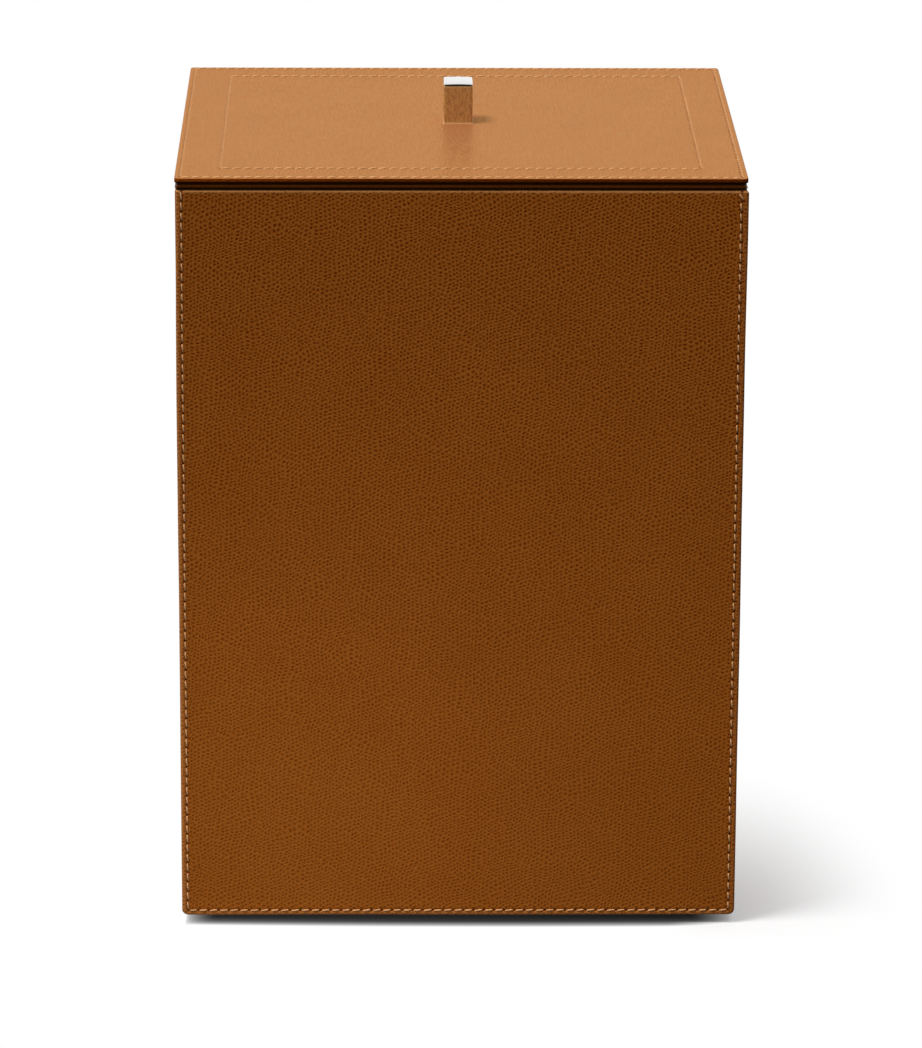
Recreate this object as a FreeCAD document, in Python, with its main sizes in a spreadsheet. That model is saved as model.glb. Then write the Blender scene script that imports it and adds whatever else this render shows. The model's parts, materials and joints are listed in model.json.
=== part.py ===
# Leather storage box: a rabbeted board carcass in stitched leather panels, lined inside,
# with a lift-off lid that drops into the mouth and a leather-wrapped knob with a metal cap.
# Frame: millimetres, +Z up, origin on the floor under the middle of the box, front towards -Y.
import FreeCAD
import Part
import Sketcher
import os
import re

DRIVING_SIZES = {
    # Box body, over the leather
    "body_width": 300,
    "body_depth": 278,
    "body_height": 404,
    # Wall build-up, from the outside in
    "leather": 1.2,
    "board": 6,
    "lining": 0.8,
    "rabbet_share": 0.5,
    # Floor of the box
    "base_board": 6,
    "base_cover": 1.2,
    "foot_radius": 9,
    "foot_height": 5,
    "foot_inset": 24,
    "foot_chamfer": 0.6,
    # Leather panels
    "edge_round": 0.9,
    "round_limit_share": 0.9,
    "corner_round": 3,
    "rim_return": 14,
    "seam_inset": 3.2,
    "hem_seam_inset": 2.5,
    "seam_width": 1,
    "seam_depth": 0.35,
    # Lid, from the top down
    "lid_overhang": 0.4,
    "lid_leather": 1,
    "lid_stiffener": 1.6,
    "lid_corner_round": 2.5,
    "lid_top_round": 0.5,
    "lid_under_round": 0.6,
    "lid_seam_inset": 3,
    "panel_seam_inset": 23.5,
    "lid_recess": 1,
    "lid_board": 2.8,
    "lid_edge_leather": 1,
    "lid_edge_corner_round": 2,
    "lid_edge_round": 0.8,
    "seat_lining": 0.9,
    "seat_inset": 1.6,
    "plug_board": 7,
    "plug_lining": 0.8,
    "plug_clearance": 1,
    "plug_round": 0.6,
    # Knob
    "knob_width": 15.7,
    "knob_height": 20.8,
    "knob_leather": 1.2,
    "knob_corner_round": 1.5,
    "cap_overhang": 0.1,
    "cap_thickness": 1.3,
    "cap_arch": 0.3,
    "cap_corner_round": 1.2,
    "cap_edge_round": 0.35,
    "neck_recess": 0.7,
    "neck_height": 0.8,
    "stem_radius": 2.5,
    "stem_length": 6,
    # Knob screw
    "screw_radius": 2,
    "knob_web": 5.3,
    "screw_head_radius": 3.5,
    "screw_head_height": 2,
    "screw_slot_width": 0.9,
    "screw_slot_depth": 1,
    "washer_radius": 5,
    "washer_thickness": 0.8,
    "counterbore_clearance": 0.5,
    "head_clearance": 1.7,
    "drill_clearance": 0.25,
    "thread_clearance": 0.05,
    "stem_clearance": 0.05,
    "drill_point": 1,
}

doc = FreeCAD.newDocument("leather_storage_box")
sheet = doc.addObject("Spreadsheet::Sheet", "dims")
for row, (size_name, size_value) in enumerate(DRIVING_SIZES.items(), start=1):
    sheet.set(f"A{row}", size_name)
    sheet.set(f"B{row}", str(size_value))
    sheet.setAlias(f"B{row}", size_name)
doc.recompute()

# Sizes that follow from the driving ones
WALL = "(leather + board + lining)"
LID_TOP = "(seat_lining + lid_board + lid_stiffener + lid_leather)"
STIFFENER_LEVEL = "(seat_lining + lid_board)"
RIM_LEVEL = "(foot_height + body_height)"
KNOB_CORE = "(knob_width - 2 * knob_leather)"
RABBET = "(board * rabbet_share)"
LEATHER_ROUND = "min(edge_round; leather * round_limit_share)"
CAP_WIDTH = "(knob_width + 2 * cap_overhang)"
SCREW_GRIP = "(knob_height - stem_length - knob_web)"
COUNTERBORE = "(washer_thickness + screw_head_height + head_clearance)"
SCREW_SEAT = f"(plug_board - {COUNTERBORE})"


def bound(text):
    """Text of an expression on the sheet: every size name gets the sheet's prefix."""
    def prefixed(found):
        word = found.group()
        return "dims." + word if word in DRIVING_SIZES else word

    return re.sub(r"[a-z_]+", prefixed, text)


def value_of(text):
    return float(sheet.evalExpression(bound(text)))


# Sketches: corners are pairs of expressions, and a leading minus puts a corner on the negative side


def start_sketch(body, name, plane, level=None):
    sketch = body.newObject("Sketcher::SketchObject", name)
    support = next(f for f in body.Origin.OriginFeatures if f.Role == plane)
    sketch.AttachmentSupport = (support, [""])
    sketch.MapMode = "FlatFace"
    if level:
        sketch.setExpression("AttachmentOffset.Base.z", bound(level))
    return sketch


def tie(sketch, kind, geometry, position, text):
    """Holds one coordinate of a point to an expression, measured from the sketch's origin."""
    if text == "0":
        axis = -2 if kind == "DistanceX" else -1
        sketch.addConstraint(Sketcher.Constraint("PointOnObject", geometry, position, axis))
        return
    if text.startswith("-"):
        text = text[1:]
        ends = (geometry, position, -1, 1)
    else:
        ends = (-1, 1, geometry, position)
    index = sketch.addConstraint(Sketcher.Constraint(kind, *ends, value_of(text)))
    sketch.setExpression(f"Constraints[{index}]", bound(text))


def add_outline(sketch, corners):
    first = sketch.GeometryCount
    points = [FreeCAD.Vector(value_of(x), value_of(y), 0) for x, y in corners]
    count = len(points)
    for index in range(count):
        line = Part.LineSegment(points[index], points[(index + 1) % count])
        sketch.addGeometry(line, False)
    for index in range(count):
        following = first + (index + 1) % count
        sketch.addConstraint(Sketcher.Constraint("Coincident", first + index, 2, following, 1))
    for index, (x, y) in enumerate(corners):
        tie(sketch, "DistanceX", first + index, 1, x)
        tie(sketch, "DistanceY", first + index, 1, y)


def add_circle(sketch, radius):
    circle = Part.Circle(FreeCAD.Vector(), FreeCAD.Vector(0, 0, 1), value_of(radius))
    index = sketch.addGeometry(circle, False)
    sketch.addConstraint(Sketcher.Constraint("Coincident", index, 3, -1, 1))
    number = sketch.addConstraint(Sketcher.Constraint("Radius", index, value_of(radius)))
    sketch.setExpression(f"Constraints[{number}]", bound(radius))


def rectangle(half_x, half_y):
    """Corners of a rectangle centred on the sketch's origin."""
    left, front = "-" + half_x, "-" + half_y
    return [(left, front), (half_x, front), (half_x, half_y), (left, half_y)]


# Features


def new_body(label):
    body = doc.addObject("PartDesign::Body", label + "_body")
    body.Label = label
    return body


def pad(body, sketch, length, reverse=False):
    feature = body.newObject("PartDesign::Pad", sketch.Name + "_pad")
    feature.Profile = sketch
    feature.setExpression("Length", bound(length))
    feature.Reversed = reverse
    doc.recompute()
    return feature


def pocket(body, sketch, length, reverse=False):
    before = body.Shape.Volume
    feature = body.newObject("PartDesign::Pocket", sketch.Name + "_pocket")
    feature.Profile = sketch
    feature.setExpression("Length", bound(length))
    feature.Reversed = reverse
    doc.recompute()
    if not feature.Shape.Volume < before:
        raise RuntimeError(sketch.Name + " cuts nothing")
    return feature


def fillet(body, name, radius, wanted):
    """Rounds every edge of the body so far for which wanted(edge) is true."""
    base = body.Tip
    edges = [f"Edge{i}" for i, edge in enumerate(base.Shape.Edges, start=1) if wanted(edge)]
    if not edges:
        raise RuntimeError(name + " finds no edge")
    feature = body.newObject("PartDesign::Fillet", name)
    feature.Base = (base, edges)
    feature.setExpression("Radius", bound(radius))
    doc.recompute()
    return feature


TOUCH = 1e-6


def runs_along(edge, direction):
    ends = edge.Vertexes
    if len(ends) < 2:
        return False
    run = ends[1].Point - ends[0].Point
    return abs(abs(run.normalize().dot(FreeCAD.Vector(*direction))) - 1) < TOUCH


def lies_at(edge, **places):
    """True if the whole edge has these coordinates, such as y=0."""
    box = edge.BoundBox
    spans = {"x": (box.XMin, box.XMax), "y": (box.YMin, box.YMax), "z": (box.ZMin, box.ZMax)}
    tolerance = edge.Tolerance + TOUCH
    return all(
        abs(spans[axis][0] - place) < tolerance and abs(spans[axis][1] - place) < tolerance
        for axis, place in places.items()
    )


def outer_upright(edge, half_x, half_y):
    """True for an upright edge at one of the corners of a centred rectangle."""
    if not runs_along(edge, (0, 0, 1)):
        return False
    point = edge.Vertexes[0].Point
    return abs(abs(point.x) - half_x) < TOUCH and abs(abs(point.y) - half_y) < TOUCH


def place(body, x="0", y="0", z="0", turn=0):
    body.Placement.Rotation = FreeCAD.Rotation(FreeCAD.Vector(0, 0, 1), turn)
    for axis, text in zip("xyz", (x, y, z)):
        if text != "0":
            body.setExpression("Placement.Base." + axis, bound(text))
    doc.recompute()
    return body


def plate(label, half_x, half_y, thickness, level, hole=None):
    """A flat sheet centred on the box's axis, with an optional round hole in its middle."""
    body = new_body(label)
    sketch = start_sketch(body, label + "_outline", "XY_Plane")
    add_outline(sketch, rectangle(half_x, half_y))
    if hole:
        add_circle(sketch, hole)
    pad(body, sketch, thickness)
    return place(body, z=level)


# The four walls share one frame: x along the wall, y from its outer face inwards, z up from its lower edge

WALLS = {
    "front": {"turn": 0, "length": "body_width", "across": True, "y": "-(body_depth / 2)"},
    "right": {"turn": 90, "length": "body_depth", "across": False, "x": "body_width / 2"},
    "back": {"turn": 180, "length": "body_width", "across": True, "y": "body_depth / 2"},
    "left": {"turn": 270, "length": "body_depth", "across": False, "x": "-(body_width / 2)"},
}


def stand(body, wall):
    return place(body, wall.get("x", "0"), wall.get("y", "0"), "foot_height", wall["turn"])


def wall_board(side, wall):
    """Carcass board. Front and back have rabbets that take the ends of the side boards."""
    label = side + "_board"
    body = new_body(label)
    inner = "(leather + board)"
    shoulder = f"(leather + board - {RABBET})"
    length = wall["length"]
    profile = start_sketch(body, label + "_profile", "XY_Plane", "base_cover")
    if wall["across"]:
        end = f"({length} / 2 - leather)"
        cheek = f"({length} / 2 - leather - board)"
        add_outline(profile, [
            ("-" + end, "leather"), (end, "leather"), (end, shoulder), (cheek, shoulder),
            (cheek, inner), ("-" + cheek, inner), ("-" + cheek, shoulder), ("-" + end, shoulder),
        ])
    else:
        end = f"({length} / 2 - leather - board + {RABBET})"
        add_outline(profile, [("-" + end, "leather"), (end, "leather"), (end, inner), ("-" + end, inner)])
    pad(body, profile, "body_height - base_cover - leather")
    rabbet = start_sketch(body, label + "_base_rabbet", "XY_Plane", "base_cover")
    add_outline(rabbet, [("-" + end, shoulder), (end, shoulder), (end, inner), ("-" + end, inner)])
    pocket(body, rabbet, "base_board", reverse=True)
    return stand(body, wall)


def wall_leather(side, wall):
    """Stitched leather panel, folded over the rim and turned down inside, with mitred fold ends."""
    label = side + "_leather"
    body = new_body(label)
    length = wall["length"]
    half = f"({length} / 2)" if wall["across"] else f"({length} / 2 - leather)"
    outer = start_sketch(body, label + "_panel", "XZ_Plane")
    add_outline(outer, [("-" + half, "0"), (half, "0"), (half, "body_height"), ("-" + half, "body_height")])
    pad(body, outer, "leather", reverse=True)

    fold_out = f"({length} / 2 - leather)"
    fold_in = f"({length} / 2 - {WALL})"
    fold = start_sketch(body, label + "_rim_fold", "XY_Plane", "body_height - leather")
    add_outline(fold, [
        ("-" + fold_out, "leather"), (fold_out, "leather"), (fold_in, WALL), ("-" + fold_in, WALL),
    ])
    pad(body, fold, "leather")
    add_lining_strip(body, label + "_return", length, "body_height - rim_return", "rim_return - leather")

    half_value = value_of(half)
    height_value = value_of("body_height")
    if wall["across"]:
        fillet(body, label + "_corners", "corner_round", lambda edge: runs_along(edge, (0, 1, 0))
               and lies_at(edge, z=0) and abs(abs(edge.Vertexes[0].Point.x) - half_value) < TOUCH)
        fillet(body, label + "_edges", LEATHER_ROUND, lambda edge: lies_at(edge, y=0))
    else:
        fillet(body, label + "_edges", LEATHER_ROUND, lambda edge: runs_along(edge, (1, 0, 0))
               and (lies_at(edge, y=0, z=0) or lies_at(edge, y=0, z=height_value)))

    seam = start_sketch(body, label + "_seam", "XZ_Plane")
    outside = f"({half} - seam_inset + seam_width / 2)"
    inside = f"({half} - seam_inset - seam_width / 2)"
    low, high = "(hem_seam_inset - seam_width / 2)", "(hem_seam_inset + seam_width / 2)"
    top = f"(body_height - {LEATHER_ROUND})"
    add_outline(seam, [
        ("-" + outside, top), ("-" + outside, low), (outside, low), (outside, top),
        (inside, top), (inside, high), ("-" + inside, high), ("-" + inside, top),
    ])
    pocket(body, seam, "seam_depth")
    return stand(body, wall)


def add_lining_strip(body, name, length, level, height):
    """Upright sheet on the inner face of a wall board, its ends mitred to meet its neighbours."""
    back = "(leather + board)"
    end_back = f"({length} / 2 - leather - board)"
    end_face = f"({length} / 2 - {WALL})"
    strip = start_sketch(body, name, "XY_Plane", level)
    add_outline(strip, [
        ("-" + end_back, back), (end_back, back), (end_face, WALL), ("-" + end_face, WALL),
    ])
    pad(body, strip, height)


def wall_lining(side, wall):
    label = side + "_lining"
    body = new_body(label)
    floor = "(base_cover + base_board)"
    add_lining_strip(body, label + "_sheet", wall["length"], floor, f"body_height - rim_return - {floor}")
    return stand(body, wall)


# Floor of the box


def make_floor():
    shoulder = f"(leather + board - {RABBET})"
    base_level = "foot_height + base_cover"
    base = plate("base_board", f"(body_width / 2 - {shoulder})", f"(body_depth / 2 - {shoulder})",
                 "base_board", base_level)
    cover = plate("base_cover", "(body_width / 2 - leather)", "(body_depth / 2 - leather)",
                  "base_cover", "foot_height")
    lining = plate("floor_lining", f"(body_width / 2 - {WALL})", f"(body_depth / 2 - {WALL})",
                   "lining", base_level + " + base_board")
    return [base, cover, lining, make_feet()]


def make_feet():
    """Felt pads under the four corners, one group of separate solids."""
    pads = []
    for number, (side_x, side_y) in enumerate([(-1, -1), (1, -1), (1, 1), (-1, 1)], start=1):
        disc = doc.addObject("Part::Cylinder", f"foot_disc_{number}")
        disc.setExpression("Radius", bound("foot_radius"))
        disc.setExpression("Height", bound("foot_height"))
        disc.setExpression("Placement.Base.x", f"{side_x} * ({bound('body_width / 2 - foot_inset')})")
        disc.setExpression("Placement.Base.y", f"{side_y} * ({bound('body_depth / 2 - foot_inset')})")
        doc.recompute()
        rounded = doc.addObject("Part::Chamfer", f"foot_{number}")
        rounded.Base = disc
        rim = next(i for i, edge in enumerate(disc.Shape.Edges, start=1) if lies_at(edge, z=0))
        size = value_of("foot_chamfer")
        rounded.Edges = [(rim, size, size)]
        pads.append(rounded)
    feet = doc.addObject("Part::Compound", "feet_group")
    feet.Label = "feet"
    feet.Links = pads
    doc.recompute()
    return feet


# Lid: its frame stands on the rim of the box

LID_HALF_X = "(body_width / 2 + lid_overhang)"
LID_HALF_Y = "(body_depth / 2 + lid_overhang)"
LOWER_HALF_X = "(body_width / 2 + lid_overhang - lid_recess)"
LOWER_HALF_Y = "(body_depth / 2 + lid_overhang - lid_recess)"
PLUG_HALF_X = f"(body_width / 2 - {WALL} - plug_clearance)"
PLUG_HALF_Y = f"(body_depth / 2 - {WALL} - plug_clearance)"
SCREW_HOLE = "(screw_radius + drill_clearance)"


def rounded_plate(body, name, half_x, half_y, thickness, corner, level=None):
    outline = start_sketch(body, name, "XY_Plane", level)
    add_outline(outline, rectangle(half_x, half_y))
    pad(body, outline, thickness)
    x, y = value_of(half_x), value_of(half_y)
    fillet(body, name + "_corners", corner, lambda edge: outer_upright(edge, x, y))


def outer_rim(edge, half_x, half_y, level):
    """True for an edge of the outer outline at this level."""
    if not lies_at(edge, z=level):
        return False
    box = edge.BoundBox
    reach = max(abs(box.XMin), abs(box.XMax)) - half_x, max(abs(box.YMin), abs(box.YMax)) - half_y
    return max(reach) > -TOUCH


def make_lid_top():
    """Top leather, turned down round the stiffener, with an edge seam and a framed panel seam."""
    body = new_body("lid_top_leather")
    x, y = value_of(LID_HALF_X), value_of(LID_HALF_Y)
    top = "(lid_stiffener + lid_leather)"
    rounded_plate(body, "lid_top_outline", LID_HALF_X, LID_HALF_Y, top, "lid_corner_round")
    height = value_of(top)
    fillet(body, "lid_top_roll", "lid_top_round", lambda edge: outer_rim(edge, x, y, height))
    under = "min(lid_under_round; lid_leather * round_limit_share)"
    fillet(body, "lid_under_roll", under, lambda edge: outer_rim(edge, x, y, 0))
    bed = start_sketch(body, "stiffener_bed", "XY_Plane")
    add_outline(bed, rectangle(f"({LID_HALF_X} - lid_leather)", f"({LID_HALF_Y} - lid_leather)"))
    pocket(body, bed, "lid_stiffener", reverse=True)
    for name, inset in (("lid_edge_seam", "lid_seam_inset"), ("lid_panel_seam", "panel_seam_inset")):
        seam = start_sketch(body, name, "XY_Plane", top)
        for side in ("+", "-"):
            line = f"- {inset} {side} seam_width / 2"
            add_outline(seam, rectangle(f"({LID_HALF_X} {line})", f"({LID_HALF_Y} {line})"))
        pocket(body, seam, "seam_depth")
    hole = start_sketch(body, "lid_top_screw_hole", "XY_Plane")
    add_circle(hole, SCREW_HOLE)
    pocket(body, hole, top, reverse=True)
    return place(body, z=f"{RIM_LEVEL} + {STIFFENER_LEVEL}")


def make_lid_edge():
    """Leather strip round the edge of the lid board, rolled top and bottom."""
    body = new_body("lid_edge_leather")
    x, y = value_of(LOWER_HALF_X), value_of(LOWER_HALF_Y)
    rounded_plate(body, "lid_edge_outline", LOWER_HALF_X, LOWER_HALF_Y, "lid_board",
                  "lid_edge_corner_round")
    roll = "min(lid_edge_round; lid_edge_leather * round_limit_share; lid_board * round_limit_share / 2)"
    for name, level in (("lid_edge_top_roll", value_of("lid_board")), ("lid_edge_under_roll", 0)):
        fillet(body, name, roll, lambda edge: outer_rim(edge, x, y, level))
    opening = start_sketch(body, "lid_edge_opening", "XY_Plane")
    inner = [f"({half} - lid_edge_leather)" for half in (LOWER_HALF_X, LOWER_HALF_Y)]
    add_outline(opening, rectangle(*inner))
    pocket(body, opening, "lid_board", reverse=True)
    return place(body, z=f"{RIM_LEVEL} + seat_lining")


def make_plug():
    """Locating board that drops into the mouth, counterbored from below for the knob screw."""
    body = new_body("plug_board")
    outline = start_sketch(body, "plug_outline", "XY_Plane")
    halves = [f"({half} - plug_lining)" for half in (PLUG_HALF_X, PLUG_HALF_Y)]
    add_outline(outline, rectangle(*halves))
    add_circle(outline, SCREW_HOLE)
    pad(body, outline, "plug_board")
    well = start_sketch(body, "plug_counterbore", "XY_Plane")
    add_circle(well, "(washer_radius + counterbore_clearance)")
    pocket(body, well, COUNTERBORE, reverse=True)
    return place(body, z=f"{RIM_LEVEL} - plug_board")


def make_plug_lining():
    """Lining wrapped over the underside and the four edges of the locating board."""
    body = new_body("plug_lining")
    outline = start_sketch(body, "plug_lining_outline", "XY_Plane")
    add_outline(outline, rectangle(PLUG_HALF_X, PLUG_HALF_Y))
    pad(body, outline, "plug_board + plug_lining")
    x, y = value_of(PLUG_HALF_X), value_of(PLUG_HALF_Y)
    roll = "min(plug_round; plug_lining * round_limit_share)"
    fillet(body, "plug_lining_roll", roll, lambda edge: outer_rim(edge, x, y, 0))
    bed = start_sketch(body, "plug_bed", "XY_Plane", "plug_lining")
    halves = [f"({half} - plug_lining)" for half in (PLUG_HALF_X, PLUG_HALF_Y)]
    add_outline(bed, rectangle(*halves))
    pocket(body, bed, "plug_board", reverse=True)
    return place(body, z=f"{RIM_LEVEL} - plug_board - plug_lining")


def make_lid():
    stiffener_halves = [f"({half} - lid_leather)" for half in (LID_HALF_X, LID_HALF_Y)]
    board_halves = [f"({half} - lid_edge_leather)" for half in (LOWER_HALF_X, LOWER_HALF_Y)]
    seat_halves = [f"({half} - seat_inset)" for half in (LOWER_HALF_X, LOWER_HALF_Y)]
    return [
        make_lid_top(),
        plate("lid_stiffener", *stiffener_halves, "lid_stiffener",
              f"{RIM_LEVEL} + {STIFFENER_LEVEL}", SCREW_HOLE),
        plate("lid_board", *board_halves, "lid_board", f"{RIM_LEVEL} + seat_lining", SCREW_HOLE),
        make_lid_edge(),
        plate("lid_seat_lining", *seat_halves, "seat_lining", RIM_LEVEL, SCREW_HOLE),
        make_plug(),
        make_plug_lining(),
    ]


# Knob: a leather-wrapped block with a metal cap, held by one screw from under the lid


def make_knob_core():
    body = new_body("knob_core")
    half = f"({KNOB_CORE} / 2)"
    outline = start_sketch(body, "knob_core_outline", "XY_Plane")
    add_outline(outline, rectangle(half, half))
    pad(body, outline, "knob_height")
    screw_hole = start_sketch(body, "knob_screw_hole", "XY_Plane")
    add_circle(screw_hole, "(screw_radius + thread_clearance)")
    pocket(body, screw_hole, f"{SCREW_GRIP} + drill_point", reverse=True)
    stem_hole = start_sketch(body, "knob_stem_hole", "XY_Plane", "knob_height")
    add_circle(stem_hole, "(stem_radius + stem_clearance)")
    pocket(body, stem_hole, "stem_length + drill_point")
    return place(body, z=f"{RIM_LEVEL} + {LID_TOP}")


def make_knob_leather():
    body = new_body("knob_leather")
    half = "(knob_width / 2)"
    rounded_plate(body, "knob_wrap_outline", half, half, "knob_height", "knob_corner_round")
    opening = start_sketch(body, "knob_wrap_opening", "XY_Plane")
    add_outline(opening, rectangle(f"({KNOB_CORE} / 2)", f"({KNOB_CORE} / 2)"))
    pocket(body, opening, "knob_height", reverse=True)
    return place(body, z=f"{RIM_LEVEL} + {LID_TOP}")


def add_arched_plate(sketch, half, low, thickness, arch):
    """Outline of a plate seen from the front, bowed upwards by the arch between its two ends."""
    radius = f"(({half} * {half} + {arch} * {arch}) / (2 * {arch}))"
    top = f"({low} + {thickness})"
    ends = {"low": low, "top": top}
    corners = {
        (side, level): FreeCAD.Vector(value_of(side + half), value_of(height), 0)
        for side in ("-", "") for level, height in ends.items()
    }
    arcs = {}
    for level, height in ends.items():
        crown = FreeCAD.Vector(0, value_of(f"{height} + {arch}"), 0)
        curve = Part.Arc(corners["-", level], crown, corners["", level])
        arcs[level] = sketch.addGeometry(curve, False)
        number = sketch.addConstraint(Sketcher.Constraint("Radius", arcs[level], value_of(radius)))
        sketch.setExpression(f"Constraints[{number}]", bound(radius))
    for side in ("-", ""):
        line = sketch.addGeometry(Part.LineSegment(corners[side, "low"], corners[side, "top"]), False)
        for position, (level, height) in enumerate(ends.items(), start=1):
            on_left = side == "-"
            curve_end = 2 if on_left else 1
            sketch.addConstraint(Sketcher.Constraint("Coincident", line, position, arcs[level], curve_end))
            tie(sketch, "DistanceX", line, position, side + half)
            tie(sketch, "DistanceY", line, position, height)


def make_knob_cap():
    """Polished plate, slightly arched, on a narrower neck that leaves a shadow line."""
    body = new_body("knob_cap")
    half_width = f"({CAP_WIDTH} / 2)"
    half = value_of(half_width)
    plate_outline = start_sketch(body, "cap_plate", "XZ_Plane")
    add_arched_plate(plate_outline, half_width, "neck_height", "cap_thickness", "cap_arch")
    arched = pad(body, plate_outline, CAP_WIDTH)
    arched.Midplane = True
    doc.recompute()
    fillet(body, "cap_corners", "cap_corner_round", lambda edge: outer_upright(edge, half, half))
    middle = value_of("neck_height + cap_thickness / 2")
    edge_round = "min(cap_edge_round; cap_thickness * round_limit_share / 2)"
    fillet(body, "cap_top_edge", edge_round, lambda edge: not runs_along(edge, (0, 0, 1))
           and edge.BoundBox.ZMin > middle)
    neck = start_sketch(body, "cap_neck", "XY_Plane")
    neck_half = f"({half_width} - neck_recess)"
    add_outline(neck, rectangle(neck_half, neck_half))
    pad(body, neck, "neck_height + cap_arch")
    stem = start_sketch(body, "cap_stem", "XY_Plane")
    add_circle(stem, "stem_radius")
    pad(body, stem, "stem_length", reverse=True)
    return place(body, z=f"{RIM_LEVEL} + {LID_TOP} + knob_height")


def make_screw():
    """Slotted pan-head screw, head down in the counterbore."""
    body = new_body("knob_screw")
    profile = start_sketch(body, "screw_profile", "XZ_Plane")
    length = f"(washer_thickness + {SCREW_SEAT} + {LID_TOP} + {SCREW_GRIP})"
    add_outline(profile, [
        ("0", "-screw_head_height"), ("screw_head_radius", "-screw_head_height"), ("screw_head_radius", "0"),
        ("screw_radius", "0"), ("screw_radius", length), ("0", length),
    ])
    turned = body.newObject("PartDesign::Revolution", "screw_turned")
    turned.Profile = profile
    turned.ReferenceAxis = (profile, ["V_Axis"])
    doc.recompute()
    slot = start_sketch(body, "screw_slot", "XY_Plane", "-screw_head_height")
    add_outline(slot, rectangle("screw_head_radius", "(screw_slot_width / 2)"))
    pocket(body, slot, "screw_slot_depth", reverse=True)
    return place(body, z=f"{RIM_LEVEL} - {SCREW_SEAT} - washer_thickness")


def make_washer():
    body = new_body("knob_washer")
    ring = start_sketch(body, "washer_ring", "XY_Plane")
    add_circle(ring, "washer_radius")
    add_circle(ring, SCREW_HOLE)
    pad(body, ring, "washer_thickness")
    return place(body, z=f"{RIM_LEVEL} - {SCREW_SEAT} - washer_thickness")


# Build every piece, check it and write it out

pieces = []
for side, wall in WALLS.items():
    pieces += [wall_board(side, wall), wall_leather(side, wall), wall_lining(side, wall)]
pieces += make_floor()
pieces += make_lid()
pieces += [make_knob_core(), make_knob_leather(), make_knob_cap(), make_screw(), make_washer()]
doc.recompute()

for item in doc.Objects:
    if "Invalid" in item.State or "Error" in item.State:
        raise RuntimeError(f"{item.Label} failed: {item.State}")
for piece in pieces:
    if piece.Shape.isNull() or not piece.Shape.isValid() or not piece.Shape.Solids:
        raise RuntimeError(f"{piece.Label} has no valid solid")

os.makedirs("parts", exist_ok=True)
for piece in pieces:
    piece.Shape.exportStep(f"parts/{piece.Label}.step")
    print(f"{piece.Label}: {len(piece.Shape.Solids)} solid, {piece.Shape.Volume / 1000:.2f} cm3")
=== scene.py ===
import json
import math
import random
import bmesh
import bpy
from mathutils import Matrix, Vector, noise


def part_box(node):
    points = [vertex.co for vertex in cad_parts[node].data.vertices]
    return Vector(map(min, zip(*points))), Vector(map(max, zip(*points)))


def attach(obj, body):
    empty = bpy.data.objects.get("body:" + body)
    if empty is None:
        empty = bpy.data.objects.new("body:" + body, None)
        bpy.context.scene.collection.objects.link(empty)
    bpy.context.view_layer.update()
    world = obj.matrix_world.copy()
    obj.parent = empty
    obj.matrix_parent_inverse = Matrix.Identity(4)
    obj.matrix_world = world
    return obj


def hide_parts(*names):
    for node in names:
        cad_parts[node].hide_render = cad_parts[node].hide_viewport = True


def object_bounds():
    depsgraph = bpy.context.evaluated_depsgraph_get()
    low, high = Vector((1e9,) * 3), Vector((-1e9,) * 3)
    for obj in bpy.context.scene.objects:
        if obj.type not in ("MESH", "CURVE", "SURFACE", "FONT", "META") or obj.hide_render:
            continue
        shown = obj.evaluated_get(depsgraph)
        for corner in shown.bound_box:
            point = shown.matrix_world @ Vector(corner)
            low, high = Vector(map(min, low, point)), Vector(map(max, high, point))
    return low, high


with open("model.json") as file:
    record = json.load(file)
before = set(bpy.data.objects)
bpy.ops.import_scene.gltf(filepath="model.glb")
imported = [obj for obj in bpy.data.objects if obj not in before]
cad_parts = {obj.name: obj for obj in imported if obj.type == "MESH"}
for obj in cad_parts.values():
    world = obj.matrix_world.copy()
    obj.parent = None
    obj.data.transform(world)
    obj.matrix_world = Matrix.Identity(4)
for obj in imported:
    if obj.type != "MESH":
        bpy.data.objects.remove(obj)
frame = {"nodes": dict(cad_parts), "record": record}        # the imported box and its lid, fixed in size and place
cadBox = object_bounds()
mm = 0.001
print("frame loaded with", len(frame["nodes"]), "CAD nodes")


# shader helpers
def setSockets(tree, node, sockets):
    for key, value in sockets.items():
        if isinstance(value, bpy.types.NodeSocket):
            tree.links.new(value, node.inputs[key])
        else:
            node.inputs[key].default_value = value


def addNode(tree, kind, sockets=None, **settings):
    made = tree.nodes.new("ShaderNode" + kind)
    for key, value in settings.items():
        setattr(made, key, value)
    setSockets(tree, made, sockets or {})
    return made


def calc(tree, operation, first, second=0.0, clamp=False):
    made = addNode(tree, "Math", {0: first, 1: second}, operation=operation, use_clamp=clamp)
    return made.outputs[0]


def times(tree, first, second):
    return calc(tree, "MULTIPLY", first, second)


def blend(tree, first, firstShare, second, secondShare, clamp=False):
    return calc(tree, "ADD", times(tree, first, firstShare), times(tree, second, secondShare), clamp)


def vectorCalc(tree, operation, first, second):
    made = addNode(tree, "VectorMath", {0: first, 1: second}, operation=operation)
    return made.outputs[0]


def scaleVector(tree, vector, scale):
    return addNode(tree, "VectorMath", {0: vector, "Scale": scale}, operation="SCALE").outputs[0]


def remap(tree, value, fromRange, toRange=(0.0, 1.0), kind="SMOOTHSTEP"):
    sockets = {"Value": value, "From Min": fromRange[0], "From Max": fromRange[1],
               "To Min": toRange[0], "To Max": toRange[1]}
    return addNode(tree, "MapRange", sockets, interpolation_type=kind).outputs["Result"]


def ramp(tree, value, fromRange, toRange=(0.0, 1.0)):
    return remap(tree, value, fromRange, toRange, "LINEAR")


def mixColour(tree, factor, first, second):
    return addNode(tree, "Mix", {0: factor, 6: first, 7: second}, data_type="RGBA").outputs[2]


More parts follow.
